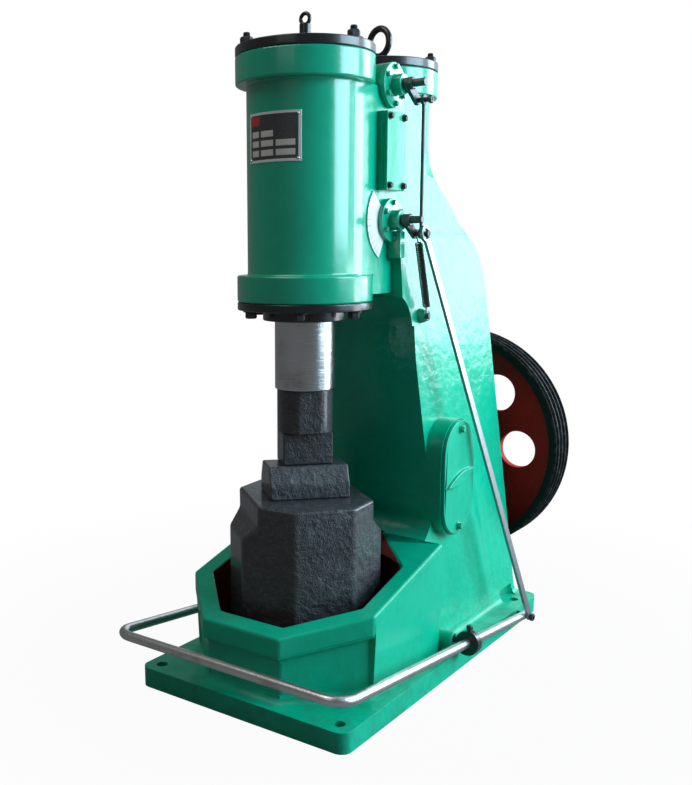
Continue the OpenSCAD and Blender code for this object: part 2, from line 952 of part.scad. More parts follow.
module pulley_section() {
    difference() {
        union() {
            translate([pulley_d / 2 - rim_depth, 0])
                square([rim_depth, pulley_w]);
            translate([shaft_d / 2, (pulley_w - web_t) / 2])
                square([pulley_d / 2 - shaft_d / 2 - 1, web_t]);
            translate([shaft_d / 2, 0])
                square([(hub_d - shaft_d) / 2, pulley_w]);
        }
        for (i = [0 : grooves - 1])
            translate([pulley_d / 2, (i + 0.5) * groove_pitch])
                polygon([
                    [1, -groove_pitch * 0.4],
                    [1, groove_pitch * 0.4],
                    [-groove_depth, groove_pitch * 0.2],
                    [-groove_depth, -groove_pitch * 0.2]
                ]);
    }
}

module pulley_shaft() {
    color("silver")
        translate([0, ram_y + pulley_y - housing_gap - seat_l, pulley_z])
            rotate([-90, 0, 0])
                cylinder(d = shaft_d, h = pulley_w + housing_gap + seat_l + 6);
}

// U-shaped pipe, drawn level along Y from the pivot, then sloped.
module treadle() {
    color("silver")
        translate([0, pivot_y, treadle_pivot_z])
            rotate([-treadle_slope, 0, 0])
                difference() {
                    union() {
                        for (s = [-1, 1]) {
                            translate([s * treadle_x, treadle_rear + pipe_d, 0])
                                rotate([90, 0, 0])
                                    cylinder(d = pipe_d, h = treadle_rear + pipe_d + front_reach - bend_r);
                            translate([s * (treadle_x - bend_r), bend_r - front_reach, 0])
                                rotate([0, 0, s > 0 ? -90 : 180])
                                    rotate_extrude(angle = 90)
                                        translate([bend_r, 0])
                                            circle(d = pipe_d);
                        }
                        translate([bend_r - treadle_x, -front_reach, 0])
                            rotate([0, 90, 0])
                                cylinder(d = pipe_d, h = 2 * (treadle_x - bend_r));
                    }
                    translate([treadle_x, treadle_rear, 0])
                        rotate([0, 90, 0])
                            cylinder(d = pin_d, h = 4 * pipe_d, center = true);
                }
}

// Clamp collar on the pipe with the pivot pin that turns in the lug.
module treadle_pin(side) {
    pin_from = lug_x - pin_in + side_gap;
    pin_to = treadle_x - pipe_d / 2 - bearing_gap;
    mirror([side > 0 ? 0 : 1, 0, 0]) {
        translate([treadle_x, pivot_y, treadle_pivot_z])
            rotate([90 - treadle_slope, 0, 0])
                difference() {
                    cylinder(d = collar_d, h = collar_t, center = true);
                    cylinder(d = pipe_d + 2 * seat_gap, h = 2 * collar_t, center = true);
                }
        translate([pin_from, pivot_y, treadle_pivot_z])
            rotate([0, 90, 0])
                cylinder(d = pivot_d, h = pin_to - pin_from);
    }
}

module treadle_pin_right() {
    color("black")
        treadle_pin(1);
}

module treadle_pin_left() {
    color("black")
        treadle_pin(-1);
}

// Flat bar from the treadle's rear end up to the lower lever pin.
module pull_bar() {
    color("gray")
        difference() {
            translate([bar_low_x, rear_y, rear_z])
                rotate([bar_lean, 0, 0])
                    rotate([0, -bar_tilt, 0])
                        rotate([90, 0, 90])
                            linear_extrude(height = bar_t) {
                                circle(d = bar_w);
                                translate([-bar_w / 2, 0])
                                    square([bar_w, bar_len]);
                                translate([0, bar_len])
                                    circle(d = eye_d + bar_w * 0.6);
                            }
            translate([0, rear_y, rear_z])
                rotate([0, 90, 0])
                    cylinder(d = pin_d + 2 * pin_clear, h = cut);
            translate([0, lever_y, lower_pin_z])
                rotate([0, 90, 0])
                    cylinder(d = eye_d, h = cut);
        }
}

// Bolt through the treadle's rear end that carries the pull bar.
module pull_bar_bolt() {
    color("dimgray")
        translate([treadle_x - pipe_d / 2 - 5, rear_y, rear_z])
            rotate([0, 90, 0])
                cylinder(d = pin_d, h = bar_low_x + bar_t + 8 - treadle_x + pipe_d / 2 + 5);
}

// Lever with its shaft and its pin; the eye looks along X.
module lever(z) {
    translate([lever_x, ram_y + valve_y, z])
        rotate([-lever_drop, 0, 0]) {
            translate([-shaft_in, 0, 0])
                rotate([0, 90, 0])
                    cylinder(d = valve_shaft_d, h = shaft_in + lever_t + shaft_out);
            rotate([90, 0, 90])
                linear_extrude(height = lever_t) {
                    circle(d = lever_w + 4);
                    translate([lever_l, 0])
                        circle(d = lever_w);
                    translate([0, -lever_w / 2])
                        square([lever_l, lever_w]);
                }
            translate([0, lever_l, 0])
                rotate([0, 90, 0])
                    cylinder(d = pin_d, h = pin_l);
        }
}

module lower_lever() {
    color("dimgray")
        lever(lower_valve_z);
}

module upper_lever() {
    color("dimgray")
        lever(upper_valve_z);
}

// Thin rod with an eye at each end, round the lever pins.
module link_rod() {
    color("dimgray")
        translate([link_x, lever_y, 0])
            difference() {
                union() {
                    translate([link_t / 2, 0, lower_pin_z])
                        cylinder(d = link_d, h = upper_pin_z - lower_pin_z);
                    for (z = [lower_pin_z, upper_pin_z])
                        translate([0, 0, z])
                            rotate([0, 90, 0])
                                cylinder(d = 2 * pin_d, h = link_t);
                }
                for (z = [lower_pin_z, upper_pin_z])
                    translate([-1, 0, z])
                        rotate([0, 90, 0])
                            cylinder(d = pin_d + 2 * pin_clear, h = link_t + 2);
            }
}

// Return spring as a plain coil body with an eye at each end.
module spring() {
    color("dimgray")
        difference() {
            translate([spring_x, lever_y, lower_pin_z]) {
                rotate([0, 90, 0])
                    cylinder(d = pin_d + 8, h = eye_t);
                translate([eye_t / 2, 0, 0])
                    rotate([180 + spring_lean, 0, 0]) {
                        cylinder(d = eye_t * 0.7, h = spring_len);
                        translate([0, 0, spring_end])
                            cylinder(d = spring_d, h = spring_len - 2 * spring_end);
                        translate([-eye_t / 2, 0, spring_len])
                            rotate([0, 90, 0])
                                cylinder(d = stud_d + 8, h = eye_t);
                    }
            }
            translate([0, lever_y, lower_pin_z])
                rotate([0, 90, 0])
                    cylinder(d = pin_d + 2 * pin_clear, h = cut);
            translate([0, ram_y + stud_y, stud_z])
                rotate([0, 90, 0])
                    cylinder(d = stud_d + 2 * pin_clear, h = cut);
        }
}

base_plate();
anvil_well();
column();
work_cylinder();
compressor_cylinder();
front_cap();
rear_cap();
gland_plate();
gland_ring();
front_eyebolt();
rear_eyebolt();
nameplate();
cover_plate();
dial_plate();
upper_valve();
lower_valve();
inspection_cover();
spring_stud();
anvil_block();
lower_die();
shaft_housing();
bearing_right();
bearing_left();
ram_rod();
ram_foot();
upper_die();
pulley();
pulley_shaft();
treadle();
treadle_pin_right();
treadle_pin_left();
pull_bar();
pull_bar_bolt();
lower_lever();
upper_lever();
link_rod();
spring();
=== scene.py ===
"""Looks of a pneumatic forging hammer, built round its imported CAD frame."""

import logging
import math
from dataclasses import dataclass
from enum import Enum
from typing import Mapping, Optional, Sequence, Union

import bmesh
import bpy
from mathutils import Matrix, Vector


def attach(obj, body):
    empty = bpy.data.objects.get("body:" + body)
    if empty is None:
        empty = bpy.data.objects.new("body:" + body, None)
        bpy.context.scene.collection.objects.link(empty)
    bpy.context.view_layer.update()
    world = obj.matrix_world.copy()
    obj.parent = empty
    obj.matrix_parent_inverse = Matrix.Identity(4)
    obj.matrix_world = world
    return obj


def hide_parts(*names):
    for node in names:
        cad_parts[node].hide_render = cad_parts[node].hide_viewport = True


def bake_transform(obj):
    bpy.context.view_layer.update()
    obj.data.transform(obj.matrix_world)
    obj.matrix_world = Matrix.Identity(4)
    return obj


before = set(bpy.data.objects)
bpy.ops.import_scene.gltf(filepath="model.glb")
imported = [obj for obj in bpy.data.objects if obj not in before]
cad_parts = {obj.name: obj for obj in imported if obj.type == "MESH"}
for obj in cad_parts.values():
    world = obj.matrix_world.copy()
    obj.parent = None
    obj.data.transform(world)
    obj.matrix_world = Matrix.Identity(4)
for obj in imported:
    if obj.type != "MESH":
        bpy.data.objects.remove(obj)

LOG = logging.getLogger("hammer")
Colour = tuple[float, float, float]
Point = tuple[float, float, float]
Pair = tuple[float, float]
Settings = Mapping[str, object]
Sockets = Mapping[Union[int, str], object]
EVEN = (1.0, 1.0, 1.0)
UP = (0.0, 0.0, 1.0)
DOWN = (0.0, 0.0, -1.0)
RIGHT = (1.0, 0.0, 0.0)
LEFT = (-1.0, 0.0, 0.0)
RAM_Y = -0.201
MIRROR_SHARE = 0.1


class Body(Enum):
    """Bodies of the hammer that pieces ride on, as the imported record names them."""

    FRAME = "frame"
    PULLEY = "pulley"
    TREADLE = "treadle"
    LOWER_LEVER = "lower_lever"
    UPPER_LEVER = "upper_lever"


class Slot(Enum):
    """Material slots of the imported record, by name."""

    GREEN = "green_enamel"
    BLACK = "black_enamel"
    DARK = "dark_steel"
    POLISHED = "polished_steel"
    LABEL = "label_plate"


class Value:
    """One shader socket that takes part in Python expressions."""

    def __init__(self, graph: "Graph", socket: bpy.types.NodeSocket) -> None:
        """Keep the socket and the graph that it belongs to.

        Args:
            graph: Graph that new Math nodes are added to.
            socket: Output socket that carries the value.
        """
        self.graph = graph
        self.socket = socket

    def _math(self, operation: str, *terms: "Operand") -> "Value":
        """Add one Math node.

        Args:
            operation: Name of the operation.
            terms: Values or numbers in the order of the node's inputs.

        Returns:
            The node's result.
        """
        return self.graph.add("ShaderNodeMath", {"operation": operation}, dict(enumerate(terms)))

    def __add__(self, other: "Operand") -> "Value":
        """Sum with another value."""
        return self._math("ADD", self, other)

    def __radd__(self, other: "Operand") -> "Value":
        """Sum with a number on the left."""
        return self._math("ADD", other, self)

    def __sub__(self, other: "Operand") -> "Value":
        """Difference to another value."""
        return self._math("SUBTRACT", self, other)

    def __rsub__(self, other: "Operand") -> "Value":
        """Difference from a number on the left."""
        return self._math("SUBTRACT", other, self)

    def __mul__(self, other: "Operand") -> "Value":
        """Product with another value."""
        return self._math("MULTIPLY", self, other)

    def __rmul__(self, other: "Operand") -> "Value":
        """Product with a number on the left."""
        return self._math("MULTIPLY", other, self)

    def __truediv__(self, other: "Operand") -> "Value":
        """Quotient by another value."""
        return self._math("DIVIDE", self, other)

    def __rtruediv__(self, other: "Operand") -> "Value":
        """Quotient of a number on the left."""
        return self._math("DIVIDE", other, self)

    def __abs__(self) -> "Value":
        """Size without sign."""
        return self._math("ABSOLUTE", self)

    def most(self, other: "Operand") -> "Value":
        """Larger of two values."""
        return self._math("MAXIMUM", self, other)

    def hypot(self, other: "Value") -> "Value":
        """Length of the right-angled pair of two values."""
        return self._math("SQRT", self * self + other * other)

    def angle(self, other: "Value") -> "Value":
        """Angle whose sine leg is this value and whose cosine leg is the other."""
        return self._math("ARCTAN2", self, other)

    def ping(self, length: float) -> "Value":
        """Zigzag between 0 and a length."""
        return self._math("PINGPONG", self, length)

    def rise(self, low: float, high: float) -> "Value":
        """Smooth step from 0 at low to 1 at high.

        Args:
            low: Value where the step starts.
            high: Value where the step ends; below low for a falling step.

        Returns:
            The step, between 0 and 1.
        """
        if high < low:
            return 1.0 - self.rise(high, low)
        sockets = {0: self, 1: low, 2: high, 3: 0.0, 4: 1.0}
        return self.graph.add("ShaderNodeMapRange", {"interpolation_type": "SMOOTHSTEP"}, sockets)


Operand = Union[Value, float]


class Graph:
    """Node tree of one material or world."""

    def __init__(self, tree: bpy.types.NodeTree) -> None:
        """Empty the tree.

        Args:
            tree: Tree to fill.
        """
        self.tree = tree
        tree.nodes.clear()

    def add(
        self, kind: str, settings: Settings, sockets: Sockets, out: Union[int, str] = 0
    ) -> Optional[Value]:
        """Add one node.

        Args:
            kind: Blender's type name of the node.
            settings: Properties of the node, set first.
            sockets: Numbers, colours or values for the inputs.
            out: Output that is returned.

        Returns:
            The chosen output, or None for a node without outputs.
        """
        node = self.tree.nodes.new(kind)
        for name, value in settings.items():
            setattr(node, name, value)
        for key, value in sockets.items():
            socket = node.inputs[key]
            if isinstance(value, Value):
                self.tree.links.new(value.socket, socket)
            elif socket.type == "RGBA" and len(value) == 3:
                socket.default_value = (*value, 1.0)
            else:
                socket.default_value = value
        return Value(self, node.outputs[out]) if len(node.outputs) else None

    def place(self, scale: Point = EVEN) -> Value:
        """Object coordinates, stretched by a scale for each axis."""
        where = self.add("ShaderNodeTexCoord", {}, {}, "Object")
        return self.add("ShaderNodeVectorMath", {"operation": "MULTIPLY"}, {0: where, 1: scale})

    def axes(self) -> tuple[Value, Value, Value]:
        """The three object coordinates as values."""
        node = self.add("ShaderNodeSeparateXYZ", {}, {0: self.place()}).socket.node
        return tuple(Value(self, socket) for socket in node.outputs)

    def noise(self, scale: float, detail: float, stretch: Point = EVEN, rough: float = 0.5) -> Value:
        """Cloudy noise between 0 and 1.

        Args:
            scale: Cells in a metre.
            detail: Octaves of finer noise.
            stretch: Scale of each axis.
            rough: Weight of the finer octaves.

        Returns:
            The noise.
        """
        sockets = {"Vector": self.place(stretch), "Scale": scale, "Detail": detail, "Roughness": rough}
        return self.add("ShaderNodeTexNoise", {}, sockets)

    def mix(self, share: Operand, first: object, second: object) -> Value:
        """Mix two colours.

        Args:
            share: Share of the second colour.
            first: Colour at share 0.
            second: Colour at share 1.

        Returns:
            The mixed colour.
        """
        return self.add("ShaderNodeMix", {"data_type": "RGBA"}, {0: share, 6: first, 7: second}, 2)

    def bump(self, height: Value, distance: float) -> Value:
        """Surface normal that follows a height."""
        return self.add("ShaderNodeBump", {}, {"Height": height, "Distance": distance})

    def surface(self, sockets: Sockets) -> None:
        """End the material in one Principled shader.

        Args:
            sockets: Numbers, colours or values for the shader's inputs.
        """
        shader = self.add("ShaderNodeBsdfPrincipled", {}, sockets)
        self.add("ShaderNodeOutputMaterial", {}, {"Surface": shader})


@dataclass(frozen=True)
class Finish:
    """One finish of the hammer; a finish makes its material once."""

    name: str

    def paint(self, graph: Graph) -> None:
        """Fill the material's node tree.

        Args:
            graph: Empty graph of the material.
        """
        raise NotImplementedError

    def material(self) -> bpy.types.Material:
        """Make or find the finish's material.

        Returns:
            The material.
        """
        found = bpy.data.materials.get(self.name)
        if found is None:
            found = bpy.data.materials.new(self.name)
            found.use_nodes = True
            self.paint(Graph(found.node_tree))
        return found

    def dress(self, *objects: bpy.types.Object) -> None:
        """Give objects this finish as their only material.

        Args:
            objects: Objects to dress.
        """
        for thing in objects:
            thing.data.materials.clear()
            thing.data.materials.append(self.material())


@dataclass(frozen=True)
class Enamel(Finish):
    """Brushed machine enamel over a casting."""

    colour: Colour = (0.0, 0.44, 0.255)
    deep: Colour = (0.0, 0.35, 0.2)
    roughness: float = 0.2
    cast: float = 1.0
    # Share, colour and top height of the darker, rougher patches that grow towards the floor
    bottom_dark_share: float = 0.5
    coat: float = 0.0
    shine: float = 0.5
    bottom_dark: Colour = (0.03, 0.045, 0.035)
    bottom_dark_top: float = 0.16

    def colours(self, graph: Graph, broad: Value, fine: Value) -> Value:
        """Colour of the paint film.

        Args:
            graph: Graph of the material.
            broad: Broad clouds.
            fine: Fine clouds.

        Returns:
            The colour.
        """
        return graph.mix((broad * 0.9 + fine * 0.5 - 0.2).rise(0.1, 0.9), self.deep, self.colour)

    def swell(self, graph: Graph) -> Operand:
        """Height of folds that the casting has of its own."""
        return 0.0

    def paint(self, graph: Graph) -> None:
        """Fill the material's node tree."""
        broad = graph.noise(5.0, 2.0)
        fine = graph.noise(48.0, 4.0)
        peel = graph.noise(420.0, 1.0)
        height_z = graph.axes()[2]
        # Patches of noise that grow darker and rougher towards the floor, below a set height
        bottom_dark = height_z.rise(self.bottom_dark_top, 0.0) * graph.noise(26.0, 5.0).rise(0.42, 0.7) * self.bottom_dark_share
        colour = graph.mix(bottom_dark * 0.55, self.colours(graph, broad, fine), self.bottom_dark)
        rough = self.roughness + fine * 0.12 + bottom_dark * 0.3
        height = broad * (2.2 * self.cast) + fine * (0.75 * self.cast) + peel * 0.05 + self.swell(graph)
        graph.surface(
            {
                "Base Color": colour,
                "Roughness": rough,
                "Normal": graph.bump(height, 0.0016),
                "Specular IOR Level": self.shine,
                "Coat Weight": self.coat,
                "Coat Roughness": 0.1,
            }
        )


@dataclass(frozen=True)
class ColumnEnamel(Enamel):
    """Enamel over the column, whose sides have a soft fold below the cover."""

    fold_y: float = 0.194
    fold_z: float = 0.332
    lean: float = 0.29
    depth: float = 3.4

    def swell(self, graph: Graph) -> Operand:
        """Height of the fold on both sides of the column."""
        x, y, z = graph.axes()
        off = y - (self.fold_y + self.fold_z * self.lean) + z * self.lean
        ridge = off.rise(-0.045, 0.0) * off.rise(0.03, 0.0)
        lower = z.rise(0.05, 0.12) * z.rise(0.42, 0.28) * abs(x).rise(0.12, 0.14)
        return ridge * lower * self.depth


@dataclass(frozen=True)
class WellEnamel(Enamel):
    """Enamel outside and dark red primer inside the anvil's well."""

    inside: Colour = (0.22, 0.025, 0.022)
    sooty: Colour = (0.1, 0.015, 0.012)
    well_af: float = 0.352

    def colours(self, graph: Graph, broad: Value, fine: Value) -> Value:
        """Colour of the paint film, with the primer inside the octagon."""
        x, y, _ = graph.axes()
        side, front = abs(x), abs(y - RAM_Y)
        flat = side.most(front).most((side + front) * math.sqrt(0.5))
        primer = flat.rise(self.well_af / 2 + 0.0012, self.well_af / 2 + 0.0002)
        soot = graph.mix(fine.rise(0.35, 0.7), self.inside, self.sooty)
        return graph.mix(primer, super().colours(graph, broad, fine), soot)


@dataclass(frozen=True)
class Forging(Finish):
    """Black scale on forged and cast steel."""

    colour: Colour = (0.02, 0.0225, 0.026)
    pale: Colour = (0.075, 0.082, 0.092)
    coarse: float = 1.0
    rust: Colour = (0.08, 0.042, 0.024)

    def paint(self, graph: Graph) -> None:
        """Fill the material's node tree."""
        pits = graph.noise(62.0, 5.0, rough=0.62)
        patch = graph.noise(16.0, 4.0)
        grit = graph.noise(520.0, 2.0)
        worn = (pits * 0.7 + patch * 0.5).rise(0.6, 0.86)
        rusty = patch.rise(0.6, 0.8) * pits.rise(0.5, 0.7)
        colour = graph.mix(rusty * 0.3, graph.mix(worn, self.colour, self.pale), self.rust)
        graph.surface(
            {
                "Base Color": colour,
                "Roughness": 0.5 - worn * 0.16,
                "Metallic": worn * 0.45,
                "Normal": graph.bump(pits + grit * 0.25 + patch * 0.9, 0.0085 * self.coarse),
                "Coat Weight": 0.5,
                "Coat Roughness": 0.13,
            }
        )


@dataclass(frozen=True)
class Steel(Finish):
    """Bare steel with the marks of its machining."""

    colour: Colour = (0.56, 0.57, 0.58)
    stain: Colour = (0.25, 0.23, 0.21)
    roughness: float = 0.2
    grain: Point = (1.0, 1.0, 40.0)
    marks: float = 1.0
    metallic: float = 1.0

    def paint(self, graph: Graph) -> None:
        """Fill the material's node tree."""
        lines = graph.noise(22.0, 3.0, self.grain)
        cloud = graph.noise(18.0, 4.0)
        stained = cloud.rise(0.5, 0.78) * (0.35 + lines * 0.6)
        graph.surface(
            {
                "Base Color": graph.mix(stained * self.marks, self.colour, self.stain),
                "Roughness": self.roughness + lines * (0.12 * self.marks) + stained * 0.15,
                "Metallic": self.metallic,
                "Normal": graph.bump(lines + cloud * 0.6, 0.0003 * self.marks),
            }
        )


@dataclass(frozen=True)
class PulleyPaint(Finish):
    """Dark red web inside a black grooved rim."""

    red: Colour = (0.68, 0.02, 0.018)
    dark: Colour = (0.48, 0.015, 0.014)
    black: Colour = (0.012, 0.013, 0.014)
    bare: Colour = (0.11, 0.11, 0.11)
    axis_z: float = 0.386
    rim_r: float = 0.2515
    groove_r: float = 0.2645

    def paint(self, graph: Graph) -> None:
        """Fill the material's node tree."""
        x, _, z = graph.axes()
        radius = x.hypot(z - self.axis_z)
        cloud = graph.noise(9.0, 4.0)
        fine = graph.noise(70.0, 4.0)
        rim = (radius + fine * 0.003).rise(self.rim_r, self.rim_r + 0.003)
        worn = radius.rise(self.groove_r, self.groove_r + 0.004) * fine.rise(0.4, 0.75)
        red = graph.mix((cloud * 0.7 + fine * 0.5).rise(0.3, 0.9), self.dark, self.red)
        colour = graph.mix(worn * 0.5, graph.mix(rim, red, self.black), self.bare)
        graph.surface(
            {
                "Base Color": colour,
                "Roughness": 0.5 + fine * 0.2,
                "Metallic": worn * 0.4,
                "Normal": graph.bump(cloud * 1.5 + fine * 0.5, 0.0014),
                "Specular IOR Level": 0.1,
            }
        )


@dataclass(frozen=True)
class LabelPrint(Finish):
    """Plain data plate: white border, dark field, red patch and blank cells."""

    low: float = 1.007
    height: float = 0.086
    half: float = 0.056
    border: float = 0.005
    field: Colour = (0.045, 0.045, 0.05)
    red: Colour = (0.5, 0.035, 0.03)
    blank: Colour = (0.62, 0.6, 0.55)
    white: Colour = (0.74, 0.74, 0.72)
    dirt: Colour = (0.2, 0.2, 0.19)

    def paint(self, graph: Graph) -> None:
        """Fill the material's node tree."""
        x, _, z = graph.axes()
        across = (x + self.half) / (2 * self.half)
        up = (z - self.low) / self.height
        sides = [(across, 2 * self.half), (up, self.height)]
        starts = [size / 2 - self.border for _, size in sides]
        ends = [(abs(v - 0.5) * size).rise(s, s + 0.001) for (v, size), s in zip(sides, starts)]
        edge = ends[0].most(ends[1])
        patch = self._cell(across, up, 0.06, 0.28, 0.74, 0.93)
        rows = [(0.08, 0.26), (0.3, 0.56), (0.6, 0.92)]
        cells = None
        for low in (0.5, 0.31, 0.12):
            for left, right in rows[:2] if low > 0.4 else rows:
                cell = self._cell(across, up, left, right, low, low + 0.13)
                cells = cell if cells is None else cells.most(cell)
        speck = graph.noise(300.0, 3.0)
        colour = graph.mix(patch, self.field, self.red)
        colour = graph.mix(cells, colour, self.blank)
        colour = graph.mix(edge, colour, self.white)
        colour = graph.mix(speck.rise(0.55, 0.75) * 0.25, colour, self.dirt)
        graph.surface(
            {
                "Base Color": colour,
                "Roughness": 0.32 + speck * 0.15,
                "Normal": graph.bump(speck + edge.most(cells) * 2.0, 0.0002),
            }
        )

    def _cell(self, across: Value, up: Value, left: float, right: float, low: float, high: float) -> Value:
        """Mask of one rectangle on the plate.

        Args:
            across: Place across the plate, 0 to 1.
            up: Place up the plate, 0 to 1.
            left: Left edge.
            right: Right edge.
            low: Lower edge.
            high: Upper edge.

        Returns:
            1 inside the rectangle and 0 outside.
        """
        soft = 0.008
        inside = across.rise(left, left + soft) * across.rise(right, right - soft)
        return inside * up.rise(low, low + soft) * up.rise(high, high - soft)


@dataclass(frozen=True)
class DialPrint(Finish):
    """White dial with dark ticks round the lower valve."""

    centre: Pair = (RAM_Y + 0.120, 0.907)
    outer: float = 0.078
    ticks: int = 40
    white: Colour = (0.75, 0.77, 0.74)
    grey: Colour = (0.4, 0.46, 0.42)
    ink: Colour = (0.16, 0.09, 0.09)

    def paint(self, graph: Graph) -> None:
        """Fill the material's node tree."""
        _, y, z = graph.axes()
        across, up = y - self.centre[0], z - self.centre[1]
        radius = across.hypot(up)
        step = math.tau / self.ticks
        near = (up.angle(across) + math.tau).ping(step / 2) * radius
        tick = near.rise(0.0011, 0.0006) * radius.rise(self.outer - 0.016, self.outer - 0.015)
        line = abs(radius - (self.outer - 0.006)).rise(0.0009, 0.0004)
        smear = graph.noise(90.0, 4.0)
        colour = graph.mix(smear.rise(0.45, 0.8) * 0.35, self.white, self.grey)
        colour = graph.mix(tick.most(line) * 0.5, colour, self.ink)
        normal = graph.bump(smear, 0.0002)
        graph.surface({"Base Color": colour, "Roughness": 0.35 + smear * 0.2, "Normal": normal})


@dataclass(frozen=True)
class FloorPaint(Finish):
    """Pale floor that shows white to the camera and keeps a faint shadow."""

    colour: Colour = (0.14, 0.14, 0.14)
    pale: Colour = (0.27, 0.27, 0.27)
    near: float = 0.96
    inner: float = 0.5
    outer: float = 1.5

    def paint(self, graph: Graph) -> None:
        """Fill the material's node tree."""
        x, y, _ = graph.axes()
        speck = graph.noise(2.0, 2.0)
        grey = graph.mix(speck * 0.04, self.colour, self.pale)
        matt = graph.add("ShaderNodeBsdfDiffuse", {}, {"Color": grey})
        white = graph.add("ShaderNodeEmission", {}, {"Color": EVEN, "Strength": 1.0})
        far = self.near + x.hypot(y).rise(self.inner, self.outer) * (1.0 - self.near)
        both = graph.add("ShaderNodeMixShader", {}, {0: backdrop_ray(graph) * far, 1: matt, 2: white})
        graph.add("ShaderNodeOutputMaterial", {}, {"Surface": both})


def backdrop_ray(graph: Graph) -> Value:
    """Mask of the rays that see the white backdrop: direct ones, and reflected ones in part.

    Args:
        graph: Graph that the nodes are added to.

    Returns:
        1 for a ray from the camera or through glass, MIRROR_SHARE for a reflected one, else 0.
    """
    direct = graph.add("ShaderNodeLightPath", {}, {}, "Is Camera Ray")
    through = graph.add("ShaderNodeLightPath", {}, {}, "Is Transmission Ray")
    mirrored = graph.add("ShaderNodeLightPath", {}, {}, "Is Glossy Ray")
    return direct.most(through).most(mirrored * MIRROR_SHARE)


class Shape:
    """Mesh under construction, in the hammer's own frame."""

    def __init__(self) -> None:
        """Start with an empty mesh."""
        self.mesh = bmesh.new()

    def rings(self, loops: Sequence[Sequence[Vector]]) -> None:
        """Skin a row of point loops that have the same number of points, and close both ends.

        Args:
            loops: Loops from start to end.
        """
        rows = [[self.mesh.verts.new(point) for point in loop] for loop in loops]
        count = len(rows[0])
        for near, far in zip(rows, rows[1:]):
            for i in range(count):
                j = (i + 1) % count
                self.mesh.faces.new((near[i], near[j], far[j], far[i]))
        self.mesh.faces.new(list(reversed(rows[0])))
        self.mesh.faces.new(rows[-1])

    def lathe(
        self, profile: Sequence[Pair], at: Point, axis: Point, sides: int, turn: float = 0.0
    ) -> None:
        """Turn a profile about an axis.

        Args:
            profile: Pairs of radius and distance along the axis.
            at: Start of the axis.
            axis: Direction of the axis.
            sides: Number of sides; 6 makes a hexagon.
            turn: Turn of the first corner in radians.
        """
        along = Vector(axis).normalized()
        across = along.orthogonal().normalized()
        up = along.cross(across)
        start = Vector(at)
        loops = []
        for radius, reach in profile:
            loop = []
            for i in range(sides):
                a = turn + math.tau * i / sides
                loop.append(start + along * reach + (across * math.cos(a) + up * math.sin(a)) * radius)
            loops.append(loop)
        self.rings(loops)

    def hexagon(self, at: Point, axis: Point, flats: float, height: float, turn: float = 0.0) -> None:
        """Hexagon head or nut with a chamfered top.

        Args:
            at: Middle of its seat.
            axis: Direction that it stands up in.
            flats: Width across flats.
            height: Height of the head.
            turn: Turn in radians.
        """
        corner = flats / math.sqrt(3.0)
        shares = [(0.97, 0.0), (1.0, 0.06), (1.0, 0.8), (0.84, 1.0)]
        self.lathe([(corner * r, height * h) for r, h in shares], at, axis, 6, turn)

    def washer(self, at: Point, axis: Point, radius: float, thick: float) -> None:
        """Round washer with broken edges.

        Args:
            at: Middle of its seat.
            axis: Direction that it stands up in.
            radius: Outer radius.
            thick: Thickness.
        """
        edge = thick * 0.25
        profile = [(radius - edge, 0.0), (radius, edge), (radius, thick - edge), (radius - edge, thick)]
        self.lathe(profile, at, axis, 28)

    def bolt(self, at: Point, axis: Point, flats: float, turn: float = 0.0, rim: float = 0.78) -> Point:
        """Hexagon bolt head or nut on its washer.

        Args:
            at: Middle of its seat.
            axis: Direction that it stands up in.
            flats: Width across flats.
            turn: Turn in radians.
            rim: Radius of the washer as a share of the flats.

        Returns:
            Middle of the washer's top.
        """
        thick = flats * 0.12
        self.washer(at, axis, flats * rim, thick)
        seat = tuple(Vector(at) + Vector(axis).normalized() * thick)
        self.hexagon(seat, axis, flats, flats * 0.62, turn)
        return seat

    def stud(self, at: Point, axis: Point, flats: float, turn: float = 0.0) -> None:
        """Nut on a stud whose threaded end stands out.

        Args:
            at: Middle of its seat.
            axis: Direction that it stands up in.
            flats: Width across flats of the nut.
            turn: Turn in radians.
        """
        seat = self.bolt(at, axis, flats, turn, 0.8)
        radius, top = flats * 0.31, flats * 0.98
        ridges = 5
        profile = [(radius, flats * 0.6)]
        for i in range(ridges):
            low = flats * 0.63 + (top - flats * 0.66) * i / ridges
            profile += [(radius, low), (radius * 0.9, low + flats * 0.035)]
        profile += [(radius * 0.8, top)]
        self.lathe(profile, seat, axis, 20)

    def tube(self, path: Sequence[Vector], radius: float, sides: int) -> None:
        """Round wire along a path.

        Args:
            path: Points of the middle line.
            radius: Radius of the wire.
            sides: Sides of the wire.
        """
        loops = []
        normal: Optional[Vector] = None
        for i, point in enumerate(path):
            ahead = path[min(i + 1, len(path) - 1)] - path[max(i - 1, 0)]
            ahead.normalize()
            normal = ahead.orthogonal() if normal is None else normal - ahead * normal.dot(ahead)
            normal.normalize()
            side = ahead.cross(normal)
            turns = [math.tau * k / sides for k in range(sides)]
            loops.append([point + (normal * math.cos(a) + side * math.sin(a)) * radius for a in turns])
        self.rings(loops)

    def cove(self, path: Sequence[Vector], up: Vector, radius: float, sink: float) -> None:
        """Concave fillet in the corner between a floor and a wall.

        Args:
            path: Corner line; the wall is on its left when looking along it with up on top.
            up: Direction up the wall.
            radius: Radius of the fillet.
            sink: Depth that its back is sunk into the wall.
        """
        steps = 6
        turns = [math.pi / 2 * k / steps for k in range(steps + 1)]
        arc = [(radius - radius * math.sin(a), radius - radius * math.cos(a)) for a in turns]
        section = [(-sink, -sink), (radius, -sink)] + arc + [(-sink, radius)]
        loops = []
        for i, point in enumerate(path):
            runs = [b - a for a, b in zip(path, path[1:])][max(i - 1, 0) : i + 1]
            outs = [run.cross(up).normalized() for run in runs]
            out = sum(outs, Vector()).normalized()
            stretch = 1.0 / max(0.3, out.dot(outs[0]))
            loops.append([point + out * (o * stretch) + up * u for o, u in section])
        self.rings(loops)

